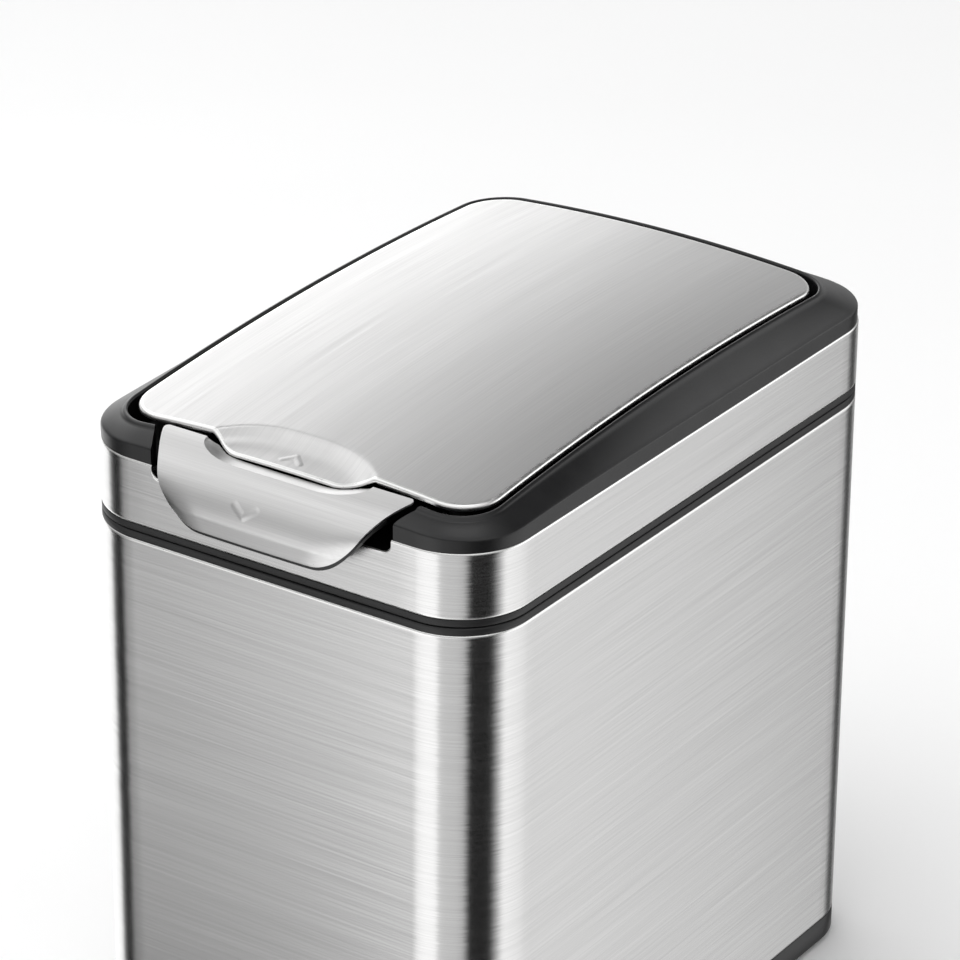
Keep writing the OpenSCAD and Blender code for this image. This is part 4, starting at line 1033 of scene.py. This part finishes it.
def wound(name, path, radius, body, node):
    """Round wire along a smooth path, in place of a CAD node."""
    curve = bpy.data.curves.new(name, "CURVE")
    curve.dimensions = "3D"
    curve.bevel_depth = radius * MM
    curve.bevel_resolution = 4
    curve.resolution_u = 3
    curve.use_fill_caps = True
    spline = curve.splines.new("NURBS")
    spline.points.add(len(path) - 1)
    for point, (x, y, z) in zip(spline.points, path):
        point.co = (x * MM, (y + CENTRE_Y) * MM, z * MM, 1)
    spline.order_u = 4
    spline.use_endpoint_u = True
    helper = bpy.data.objects.new(name, curve)
    bpy.context.scene.collection.objects.link(helper)
    depsgraph = bpy.context.evaluated_depsgraph_get()
    mesh = bpy.data.meshes.new_from_object(helper.evaluated_get(depsgraph))
    bpy.data.objects.remove(helper)
    bpy.data.curves.remove(curve)
    obj = bpy.data.objects.new(name, mesh)
    bpy.context.scene.collection.objects.link(obj)
    return place(obj, body, "zinc_plated", zinc_plate(), [node], sharp=60)


def hinge_spring(d, wire):
    """Right-hand spring round the hinge pin: an arm under the lid, the coil, and a leg down to the deck."""
    coil, pitch, eighths, outer_end = 2.25, 1.2, 8 * 6 + 6, 23.5
    steps = 2
    start = outer_end - pitch * eighths / 8
    arm = ((-12, 3.8), (-9, 2.3), (-6, 1.1), (-2.5, 0.1))
    path = [(start, d.pin_y + dy, d.pin_z - coil + dz) for dy, dz in arm]
    for i in range(eighths * steps + 1):
        a = math.radians(-90 + 45 * i / steps)
        along = start + pitch * i / steps / 8
        path.append((along, d.pin_y + coil * math.cos(a), d.pin_z + coil * math.sin(a)))
    x, y, z = path[-1]
    leg_end = d.deck + wire + 0.05
    return path + [(x, y, lerp(z, leg_end, share)) for share in (0.3, 0.65, 1)]


def lever_spring(d, wire):
    """Spring that stands in the well under the lever, drawn round x = 0."""
    turns, steps, radius = 5, 16, 2.7
    height, clear = d.top - d.well_floor, wire + 0.05
    path = []
    for i in range(steps * turns + 1):
        a = 2 * math.pi * i / steps
        rise = lerp(clear, height - clear, i / (steps * turns))
        path.append((radius * math.cos(a), d.lever_spring_y + radius * math.sin(a), d.well_floor + rise))
    return path


class BIN_OT_springs(bpy.types.Operator):
    """Coil springs on the hinge pin and under the lever"""

    bl_idname = "bin.springs"
    bl_label = "Springs"

    def execute(self, context):
        d = Drawing()
        hinge_wire, lever_wire = 0.35, 0.45
        for hand, sx in (("left", -1), ("right", 1)):
            path = [(sx * x, y, z) for x, y, z in hinge_spring(d, hinge_wire)]
            wound(f"hinge_spring_{hand}_wire", path, hinge_wire, "head", f"hinge_spring_{hand}")
            path = [(sx * d.lever_spring_x + x, y, z) for x, y, z in lever_spring(d, lever_wire)]
            spring = wound(f"lever_spring_{hand}_wire", path, lever_wire, "head", f"lever_spring_{hand}")
            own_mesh(spring)
        return {"FINISHED"}


class BIN_OT_hinge(bpy.types.Operator):
    """Parts of the hinge, damper, catch and lever that keep the shapes of the CAD model"""

    bl_idname = "bin.hinge"
    bl_label = "Hinge and damper"

    def execute(self, context):
        for node in ("hinge_bracket_left", "hinge_bracket_right", "bracket_screws", "hinge_pin",
                     "damper_screws", "lever_bracket_screws", "lever_pin", "hinge_arm_left",
                     "hinge_arm_right", "arm_screws", "striker_screws", "catch_magnet"):
            dress(node, zinc_plate())
        for node in ("damper_housing", "damper_sector", "lever_bracket_left", "lever_bracket_right"):
            dress(node, black_plastic(), 0.2)
        dress("damper_pinion", acetal(), 0.06)
        dress("striker_plate", steel_plate(), 0.15)
        return {"FINISHED"}


# Lid


def chevron(surface, tip, half, arm, width, height):
    """Raised chevron on a surface: surface(u, v) gives a point and its outward direction in millimetres."""
    step, edge, sunk = 0.28, -0.5, 0.04
    reach = half + width
    count_u, count_v = int(2 * reach / step), int((arm + 2 * width) / step)
    grid = {}
    points, faces = [], []
    for i in range(count_u + 1):
        for j in range(count_v + 1):
            u = -reach + 2 * reach * i / count_u
            v = -width + (arm + 2 * width) * j / count_v
            along = max(0.0, min(1.0, (abs(u) * half + v * arm) / (half * half + arm * arm)))
            away = math.hypot(abs(u) - along * half, v - along * arm)
            share = 1 - away / (width / 2)
            if share < edge:
                continue
            # The rim of the mark lies just under the surface
            rise = height * smooth(share) - sunk * (share < 0.02)
            point, out = surface(tip[0] + u, tip[1] - v)
            grid[i, j] = len(points)
            points.append(tuple(p + rise * o for p, o in zip(point, out)))
    for (i, j), a in grid.items():
        corners = [grid.get(key) for key in ((i, j), (i + 1, j), (i + 1, j + 1), (i, j + 1))]
        if None not in corners:
            faces.append(corners)
    mark = Mould()
    mark.add(points, faces)
    return mark


class BIN_OT_lid(bpy.types.Operator):
    """Domed steel lid with its folded edge, finger lip and thumb scoop"""

    bl_idname = "bin.lid"
    bl_label = "Lid"

    def execute(self, context):
        d = Drawing()
        top = d.top
        count = dict(front=150, side=60, rear=40, corner=24)
        # The fold hangs this far below the lid's surface, and less along the finger lip
        fold_deep, fold_shallow, fold_ease = 2.2, 1.25, 8

        def edge(inset, drop):
            """Ring of the folded edge."""
            ring = []
            for x, y in d.lid_edge(inset, **count):
                past_lip = abs(x) - d.lip_half - fold_ease / 2
                on_lip = smooth(-past_lip / fold_ease) if y < d.lid_front + inset else 0
                share = lerp(fold_deep, fold_shallow, on_lip) / fold_deep
                ring.append((x, y, top + d.lid(x, y) - drop * share))
            return ring

        def skin(share, drop, inset):
            """Ring of the sheet's upper or lower face, at a share of the way from the middle to the edge."""
            points = shrunk(d.lid_edge(inset, **count), share, d.lid_centre)
            return [(x, y, top + d.lid(x, y) - drop) for x, y in points]

        shares = [0.03, 0.12, 0.24, 0.36, 0.48, 0.58, 0.66, 0.72, 0.77]
        shares += [0.8 + 0.0085 * i for i in range(23)]
        fold = [(1.1, 0.85), (0.85, 1.1), (0.8, 1.5), (0.78, 1.95), (0.65, 2.15), (0.42, 2.2), (0.18, 2.12),
                (0.04, 1.92), (0, 1.6), (0, 1.1), (0.05, 0.78), (0.2, 0.48), (0.44, 0.24), (0.75, 0.08),
                (1.1, 0.015), (1.5, 0)]
        rings = [skin(s, 0.8, 1.3) for s in shares]
        rings += [edge(inset, drop) for inset, drop in fold]
        rings += [skin(s, 0, 1.7) for s in reversed(shares)]
        first = len(shares)
        lid = Mould()
        # The fold's outer rows take the paler edge steel: a painted highlight along the lid's edge
        lid.loft(rings, caps=True, highlight_rows=range(first + 4, first + len(fold) - 1))
        place(lid.cast("lid_cover"), "lid", "brushed_steel", steel_lid(), ["lid_skin"], sharp=50,
              edge=painted_highlight_edge())

        def surface(x, y):
            """A point of the lid and its outward direction."""
            e = 0.2
            slope_x = (d.lid(x - e, y) - d.lid(x + e, y)) / (2 * e)
            slope_y = (d.lid(x, y - e) - d.lid(x, y + e)) / (2 * e)
            return (x, y, top + d.lid(x, y)), Vector((slope_x, slope_y, 1)).normalized()

        mark = chevron(surface, (-0.3, d.lip_y + 8.2), half=3.9, arm=3.4, width=3.2, height=0.15)
        place(mark.cast("lid_chevron", recalc=False), "lid", "brushed_steel", steel_lid(), sharp=70)
        return {"FINISHED"}


class BIN_OT_liner(bpy.types.Operator):
    """Plastic liner under the lid, with ribs and the bosses that arms and striker are screwed to"""

    bl_idname = "bin.liner"
    bl_label = "Lid liner"

    def execute(self, context):
        d = Drawing()
        inset_all = 3
        front, rear = d.lid_front + inset_all, millimetres("lid_liner")[1].y - CENTRE_Y
        middle, length = (front + rear) / 2, rear - front
        width, corner = d.lid_width - 2 * inset_all, d.lid_corner - inset_all

        def ring(inset, drop, share=1.0):
            points = outline(width - 2 * inset, length - 2 * inset, middle, corner - inset)
            return [(x, y, d.top + d.lid(x, y) - drop) for x, y in shrunk(points, share, middle)]

        shares = [0.05, 0.2, 0.35, 0.5, 0.65, 0.76, 0.84, 0.88, 0.92, 0.95, 0.975]
        rings = [ring(0.6, 3.1, share) for share in shares] + [ring(0.5, 3.1), ring(0.15, 2.95), ring(0, 2.6)]
        rings += [ring(0, 1.4), ring(0.3, 1.1)] + [ring(0.4, 1.1, share) for share in reversed(shares)]
        liner = Mould()
        liner.loft(rings, caps=True)

        def rib(ax, ay, bx, by):
            """Rib under the liner, which follows the dome."""
            across, deep, steps = (0.6, 0) if ax == bx else (0, 0.6), 2.4, 12
            corners = ((-1, 0), (-1, deep), (-0.5, deep + 0.3), (0.5, deep + 0.3), (1, deep), (1, 0))
            loops = []
            for i in range(steps + 1):
                x, y = lerp(ax, bx, i / steps), lerp(ay, by, i / steps)
                under = d.top + d.lid(x, y) - 2.6
                loops.append([(x + k * across[0], y + k * across[1], under - drop) for k, drop in corners])
            liner.loft(loops, caps=True)

        for sx in (-1, 1):
            rib(sx * 54, -92, sx * 54, 92)
            rib(sx * 18, -70, sx * 18, 62)
        for y in (-70, -26, 18, 62):
            rib(-54, y, 54, y)
        # Bosses for the screws of arms, striker and damper sector
        arm_low, arm_high = millimetres("hinge_arm_left")
        striker_z = millimetres("striker_plate")[1].z
        bosses = [(sx * 34, arm_low.y - CENTRE_Y + reach, arm_high.z) for sx in (-1, 1) for reach in (5, 17)]
        bosses += [(sx * 9.5, d.front + 25, striker_z) for sx in (-1, 1)] + [(0, d.pin_y - 21.5, arm_high.z)]
        bore = 1.3
        for x, y, z in bosses:
            top = d.top + d.lid(x, y) - 2.4
            liner.turned([(bore, z + 0.02), (2.4, z + 0.02), (2.7, z + 0.3), (2.7, top), (bore, top)],
                         (x, y, 0), steps=24, hollow=True)
        place(liner.cast("lid_liner_moulding"), "lid", "black_plastic", black_plastic(), ["lid_liner"],
              rounded=0.15)
        return {"FINISHED"}


# Push plate


class BIN_OT_push_plate(bpy.types.Operator):
    """Steel push plate with its finger recess and crease, and the black lever that backs it"""

    bl_idname = "bin.push_plate"
    bl_label = "Push plate"

    def execute(self, context):
        d = Drawing()
        total, r = d.face_length, d.plate_corner
        deepest = d.finger_edge(0)
        # Columns of the grid as a place along the top edge and a turn, in degrees, round the lower corner.
        # The inner ones end on the straight lower edge, and the outer ones share out the rounded corner.
        flat, bend = d.finger_flat, d.lip_half - d.finger_flat
        inner = [flat * i / 6 for i in range(1, 6)]
        inner += [flat + bend * math.sin(math.radians(7.5 * i)) for i in range(13)]
        inner += [36.2, 36.5, 37, 37.6, 38.3]
        outer = [39, 40, 41.5, 43, 44.5, 46, 47.5, 49, 50.3, 51.5, 52.6, 53.5, 54.2, 54.7, d.plate_half]
        right = [(x, 0) for x in inner] + [(x, 90 * (k + 1) / len(outer)) for k, x in enumerate(outer)]
        columns = [(-x, turn) for x, turn in reversed(right)] + [(0.0, 0)] + right

        def foot(x, turn):
            """Where a column ends on the plate's lower outline."""
            a = math.radians(turn)
            s = total - r + r * math.cos(a)
            half = d.plate_half - d.plate_taper * s - d.plate_cut * (1 - math.sin(a))
            return (math.copysign(half, x) if turn else x * half / inner[-1]), s

        def across(x, turn, s):
            """Slides a column in, as the plate narrows towards its lower edge."""
            half = d.half_face(min(s, deepest))
            here = x
            if abs(x) > d.lip_half:
                here = d.lip_half + (abs(x) - d.lip_half) / (d.plate_half - d.lip_half) * (half - d.lip_half)
                here = math.copysign(here, x)
            end_x, end_s = foot(x, turn)
            return lerp(here, end_x, max(0.0, s - deepest) / (end_s - deepest))

        def rows(edge, end):
            """Distances down from the top: three close together at the recess's edge, then even steps."""
            above, below = 20, 44
            near = min(0.12, edge / 30)
            down = [edge * (1 - math.cos(math.radians(90 * k / above))) for k in range(above)]
            down += [edge - near, edge, edge + near]
            return down + [lerp(edge, end, (k + 1) / below) for k in range(below)]

        # The recess has a pale ledge, which falls slowly as far as the lid's lip and steeply under it
        ledge_fall, steep_fall, recess_floor = 0.06, 2.4, 3.6
        top_round = 3.0
        grid = []
        for x, turn in columns:
            edge = max(d.finger_edge(x), min(top_round, max(0.0, abs(x) - d.lip_half)))
            brink, brink_z, _, _ = d.on_face(edge)
            lip = d.lid_front - d.lip_reach * smooth((d.lip_half - abs(x)) / (d.lip_half - d.lip_tip_half))
            shelf = max(0.3, lip - 0.3 - brink)
            line = []
            for s in rows(edge, foot(x, turn)[1]):
                y, z, _, _ = d.on_face(s)
                if abs(x) < d.lip_half and s < edge:
                    past = y - brink
                    z = max(recess_floor, brink_z - ledge_fall * past - steep_fall * max(0.0, past - shelf))
                x_here = across(x, turn, s)
                line.append((x_here, y + d.bow(x_here, s), d.top + z))
            grid.append(line)
        plate = Mould()
        plate.loft(grid, closed=False)
        sheet = plate.cast("push_plate_sheet")
        thick = sheet.modifiers.new("sheet", "SOLIDIFY")
        thick.thickness = d.sheet * MM
        thick.offset = -1
        place(sheet, "push_lever", "brushed_steel", steel_plate(), ["push_plate"], sharp=42)
        round_edges(sheet, 0.25, angle=42, segments=3)

        def surface(x, s):
            """A point of the face and its outward direction."""
            y, z, in_y, in_z = d.on_face(s)
            return (x, y + d.bow(x, s), d.top + z), (0, -in_y, -in_z)

        mark = chevron(surface, (-4.3, total - 10.6), half=4.6, arm=3.3, width=3.6, height=0.17)
        place(mark.cast("plate_chevron", recalc=False), "push_lever", "brushed_steel", steel_plate(),
              sharp=70)

        start, wider, longer = 12, 0.009, 1.8

        def behind(share, inset):
            """A level row of points behind the face, a little wider and further down than the sheet."""
            row = []
            for x, turn in columns:
                s = lerp(start, foot(x, turn)[1], share)
                y, z, in_y, in_z = d.on_face(s + longer * smooth((s - total + r) / r))
                x_here = across(x, turn, s) * (1 + wider * smooth(share * 4))
                row.append((x_here, y + d.bow(x_here, s) + inset * in_y, d.top + z + inset * in_z))
            return row

        near_face, far_face, steps = 1.15, 2.6, 12
        shares = [k / steps for k in range(steps + 1)]
        backing = Mould()
        backing.loft([behind(share, near_face) + list(reversed(behind(share, far_face))) for share in shares],
                     caps=True)
        place(backing.cast("lever_backing"), "push_lever", "black_plastic", black_plastic(), sharp=40,
              rounded=0.2)
        dress("lever_frame", black_plastic(), 0.3)
        return {"FINISHED"}


# Stage


def lens_camera():
    """Camera that sees the bin as the photograph does; its lens and place were fitted to the bin's edges."""
    tilt, turn, roll = math.radians(25.47), math.radians(34.33), math.radians(0.41)
    lens_pixels, frame_pixels, sensor = 4595, 960, 36
    distance, to_right, to_top, aim_height = 1712, -3.5, -11.65, 237
    back = Vector((math.sin(turn) * math.cos(tilt), -math.cos(turn) * math.cos(tilt), math.sin(tilt)))
    right = Vector((math.cos(turn), math.sin(turn), 0))
    up = back.cross(right)
    right, up = math.cos(roll) * right + math.sin(roll) * up, math.cos(roll) * up - math.sin(roll) * right
    spot = to_right * right + to_top * up + distance * back + Vector((0, CENTRE_Y, aim_height))
    data = bpy.data.cameras.new("camera")
    data.sensor_width = sensor
    data.lens = lens_pixels / frame_pixels * sensor
    data.clip_start = 0.05
    camera = bpy.data.objects.new("camera", data)
    bpy.context.scene.collection.objects.link(camera)
    camera.matrix_world = Matrix.Translation(spot * MM) @ Matrix((right, up, back)).transposed().to_4x4()
    bpy.context.scene.camera = camera


def fill_light():
    """Large lamp up in front on the left, which leaves no glint in the steel."""
    spot, target, side = Vector((-0.6, -0.6, 2.2)), Vector((0, 0, 0.2)), 2.0
    data = bpy.data.lights.new("fill light", "AREA")
    data.shape = "RECTANGLE"
    data.size, data.size_y = side, side
    data.energy = 24
    lamp = bpy.data.objects.new("fill light", data)
    lamp.location = spot
    lamp.rotation_euler = (target - spot).to_track_quat("-Z", "Y").to_euler()
    lamp.visible_camera = False
    lamp.visible_glossy = False
    bpy.context.scene.collection.objects.link(lamp)


def ramp(nodes, value, stops, most):
    """Grey that follows a value from 0 to 1 through its stops; most is the brightest that they may hold."""
    made = nodes.new("ShaderNodeValToRGB", {"Fac": value})
    points = made.color_ramp.elements
    while len(points) < len(stops):
        points.new(0.5)
    for point, (position, grey) in zip(points, stops):
        point.position = position
        point.color = (grey / most, grey / most, grey / most, 1)
    return nodes.times(made.outputs["Color"], most)


def blend(nodes, one, other, share):
    """Mixes two values: all of the first at a share of 0, all of the other at 1."""
    return nodes.plus(one, nodes.times(share, nodes.plus(other, nodes.times(one, -1.0))))


def studio_world():
    """Soft surround that the lid and the plate mirror, with a brightness for each direction."""
    world = bpy.data.worlds.new("studio")
    world.use_nodes = True
    bpy.context.scene.world = world
    nodes = Nodes(world.node_tree)
    ray = nodes.new("ShaderNodeTexCoord").outputs["Generated"]
    parts = nodes.new("ShaderNodeSeparateXYZ", {"Vector": ray}).outputs
    brightest = 2.0

    def by_height(stops):
        """Ramp by the height of the direction, from -1 for straight down to 1 for straight up."""
        return ramp(nodes, height, [((z + 1) / 2, grey) for z, grey in stops], brightest)

    def glow(direction, inner, outer, strength):
        """Round patch of light: full up to the inner angle from its direction, gone at the outer one."""
        towards = Vector(direction).normalized()
        facing = nodes.new("ShaderNodeVectorMath", {0: ray, 1: tuple(towards)}, operation="DOT_PRODUCT")
        fade = nodes.new("ShaderNodeMapRange", {
            "Value": facing.outputs["Value"], "From Min": math.cos(math.radians(outer)),
            "From Max": math.cos(math.radians(inner)), "To Min": 0.0, "To Max": strength},
            interpolation_type="SMOOTHSTEP")
        return fade.outputs["Result"]

    height = nodes.stretch(parts["Z"], -1.0, 1.0, 0.0, 1.0)
    # Behind the bin it is dark high up, for the lid's grey right half; ahead it is bright, for the plate
    behind = by_height([(-0.4, 0.8), (0.0, 0.9), (0.12, 0.85), (0.2, 0.56), (0.35, 0.4), (0.6, 0.08),
                        (0.75, 0.1), (0.86, 0.14), (0.93, 0.5), (0.97, 0.75), (1.0, 0.75)])
    ahead = by_height([(-0.4, 0.7), (0.0, 0.45), (0.25, 0.3), (0.43, 0.42), (0.55, 0.82),
                       (0.75, 0.95), (0.84, 1.3), (0.9, 1.2), (0.94, 0.85), (1.0, 0.75)])
    light = blend(nodes, ahead, behind, nodes.step(parts["Y"], -0.1, 0.45))
    # Broad light on the left, for the lid's pale left half
    left = nodes.times(nodes.step(parts["X"], -0.44, -0.56), nodes.step(parts["Z"], 0.84, 0.6))
    left = nodes.times(nodes.times(left, nodes.step(parts["Y"], -0.35, 0.2)), 1.6)
    left = nodes.times(left, nodes.step(parts["X"], -0.93, -0.72))
    light = nodes.plus(light, left)
    # A broad patch behind on the right, and a small one overhead for the bezel's front right corner
    light = nodes.plus(light, glow((0.7, 0.68, 0.15), 12, 34, 1.1))
    light = nodes.plus(light, glow((-0.06, 0.21, 0.97), 3, 11, 2.4))
    background = world.node_tree.nodes["Background"]
    link(nodes, light, background.inputs["Strength"])
    background.inputs["Color"].default_value = (1, 1, 1, 1)


def ring_light():
    """Material of the reflection wall: its brightness goes by the angle round the bin and the height."""
    made = bpy.data.materials.new("reflection wall")
    made.use_nodes = True
    made.node_tree.nodes.clear()
    nodes = Nodes(made.node_tree)
    spot = nodes.new("ShaderNodeTexCoord").outputs["Object"]
    parts = nodes.new("ShaderNodeSeparateXYZ", {"Vector": spot}).outputs
    turned = nodes.new("ShaderNodeMath", {0: parts["X"], 1: nodes.times(parts["Y"], -1.0)},
                       operation="ARCTAN2")
    around = nodes.stretch(turned.outputs[0], -math.pi, math.pi, 0.0, 1.0)
    brightest = 1.5

    def at(degrees):
        """Share of the way round for an angle counted from the front towards the right."""
        return (degrees + 180) / 360

    def by_angle(stops):
        return ramp(nodes, around, [(at(degrees), grey) for degrees, grey in stops], brightest)

    left = [(-180, 0.45), (-165, 0.5), (-149, 0.2), (-140, 1.4), (-80, 1.4), (-73, 0.0)]
    front_left = [(-55, 0.0), (-49, 0.5), (-37, 0.58), (-28, 0.88), (-26, 1.4)]
    right = [(3, 1.4), (8, 0.8), (30, 0.74), (38, 0.62), (46, 0.0), (75, 0.0), (84, 0.5), (93, 1.3),
             (134, 1.05), (149, 0.78), (155, 0.2), (161, 0.05), (173, 0.06), (180, 0.45)]
    # Level with the push plate, the ring is darker to its left and lighter to its right
    front_left_high = [(-55, 0.0), (-49, 0.2), (-38, 0.36), (-33, 0.75), (-30, 1.3), (-26, 1.45)]
    strength = by_angle(left + front_left + right)
    high_up = by_angle(left + front_left_high + right)
    strength = blend(nodes, strength, high_up, nodes.step(parts["Z"], -0.12, 0.02))
    # The foot of the ring is dark in front of the bin's left half, for the push plate's lower edge
    low_down = nodes.times(nodes.step(parts["Z"], -0.4, -0.54), nodes.times(
        nodes.step(around, at(-24), at(-31)), nodes.step(around, at(-85), at(-70))))
    strength = nodes.times(strength, nodes.plus(nodes.times(low_down, -0.92), 1.0))
    out = nodes.new("ShaderNodeOutputMaterial")
    lit = nodes.new("ShaderNodeEmission", {"Strength": strength})
    link(nodes, lit.outputs[0], out.inputs["Surface"])
    return made


def reflection_wall():
    """Ring of light and dark round the bin that only shows in its polished walls."""
    radius, low, high, steps = 1.0, -1.6, 0.33, 180
    points, faces = [], []
    for i in range(steps):
        a = 2 * math.pi * i / steps
        points += [(radius * math.sin(a), -radius * math.cos(a), z) for z in (low, high)]
        on = (i + 1) % steps
        faces.append((2 * i, 2 * i + 1, 2 * on + 1, 2 * on))
    mesh = bpy.data.meshes.new("reflection wall")
    mesh.from_pydata(points, [], faces)
    mesh.materials.append(ring_light())
    wall = bpy.data.objects.new("reflection wall", mesh)
    wall.location = (0, CENTRE_Y * MM, 0)
    bpy.context.scene.collection.objects.link(wall)
    for ray in ("camera", "diffuse", "shadow", "transmission", "volume_scatter"):
        setattr(wall, f"visible_{ray}", False)


def pale_floor():
    """Plain floor that the bin stands on and throws its shadow on, but doesn't mirror."""
    side = 6.0
    mesh = bpy.data.meshes.new("floor")
    corners = [(-side, -side, 0), (side, -side, 0), (side, side, 0), (-side, side, 0)]
    mesh.from_pydata(corners, [], [(0, 1, 2, 3)])
    floor = bpy.data.objects.new("floor", mesh)
    bpy.context.scene.collection.objects.link(floor)
    made, nodes, shader = material("floor paint")
    cloud = nodes.streaks(nodes.new("ShaderNodeTexCoord").outputs["Object"], (3, 3, 3))
    tint = nodes.stretch(cloud, 0.3, 0.7, 0.99, 1.0)
    link(nodes, nodes.tinted(colours().floor, tint), shader.inputs["Base Color"])
    shader.inputs["Roughness"].default_value = 0.9
    mesh.materials.append(made)
    floor.visible_glossy = False


class BIN_OT_stage(bpy.types.Operator):
    """Pale floor, soft studio light and the camera"""

    bl_idname = "bin.stage"
    bl_label = "Stage"

    def execute(self, context):
        context.scene.view_settings.view_transform = "Standard"
        lens_camera()
        studio_world()
        pale_floor()
        reflection_wall()
        fill_light()
        return {"FINISHED"}


class BIN_PT_panel(bpy.types.Panel):
    """Lists the bin's pieces in the sidebar"""

    bl_idname = "BIN_PT_panel"
    bl_label = "Countertop Bin"
    bl_space_type = "VIEW_3D"
    bl_region_type = "UI"
    bl_category = "Bin"

    def draw(self, context):
        for operator in PIECES:
            self.layout.operator(operator.bl_idname)
        for group in (context.scene.bin_sizes, context.scene.bin_colours):
            for name in group.bl_rna.properties.keys():
                if name not in ("rna_type", "name"):
                    self.layout.prop(group, name)


PIECES = (BIN_OT_stage, BIN_OT_body, BIN_OT_rings, BIN_OT_base, BIN_OT_feet, BIN_OT_bucket, BIN_OT_band,
          BIN_OT_bezel, BIN_OT_bumpers, BIN_OT_springs, BIN_OT_hinge, BIN_OT_lid, BIN_OT_liner,
          BIN_OT_push_plate)
CLASSES = (BinSizes, BinColours) + PIECES + (BIN_PT_panel,)


def register():
    for cls in CLASSES:
        bpy.utils.register_class(cls)
    bpy.types.Scene.bin_sizes = PointerProperty(type=BinSizes)
    bpy.types.Scene.bin_colours = PointerProperty(type=BinColours)


def unregister():
    del bpy.types.Scene.bin_colours
    del bpy.types.Scene.bin_sizes
    for cls in reversed(CLASSES):
        bpy.utils.unregister_class(cls)


def main():
    """Builds every piece."""
    register()
    for operator in PIECES:
        family, name = operator.bl_idname.split(".")
        getattr(getattr(bpy.ops, family), name)()


if __name__ == "__main__":
    main()
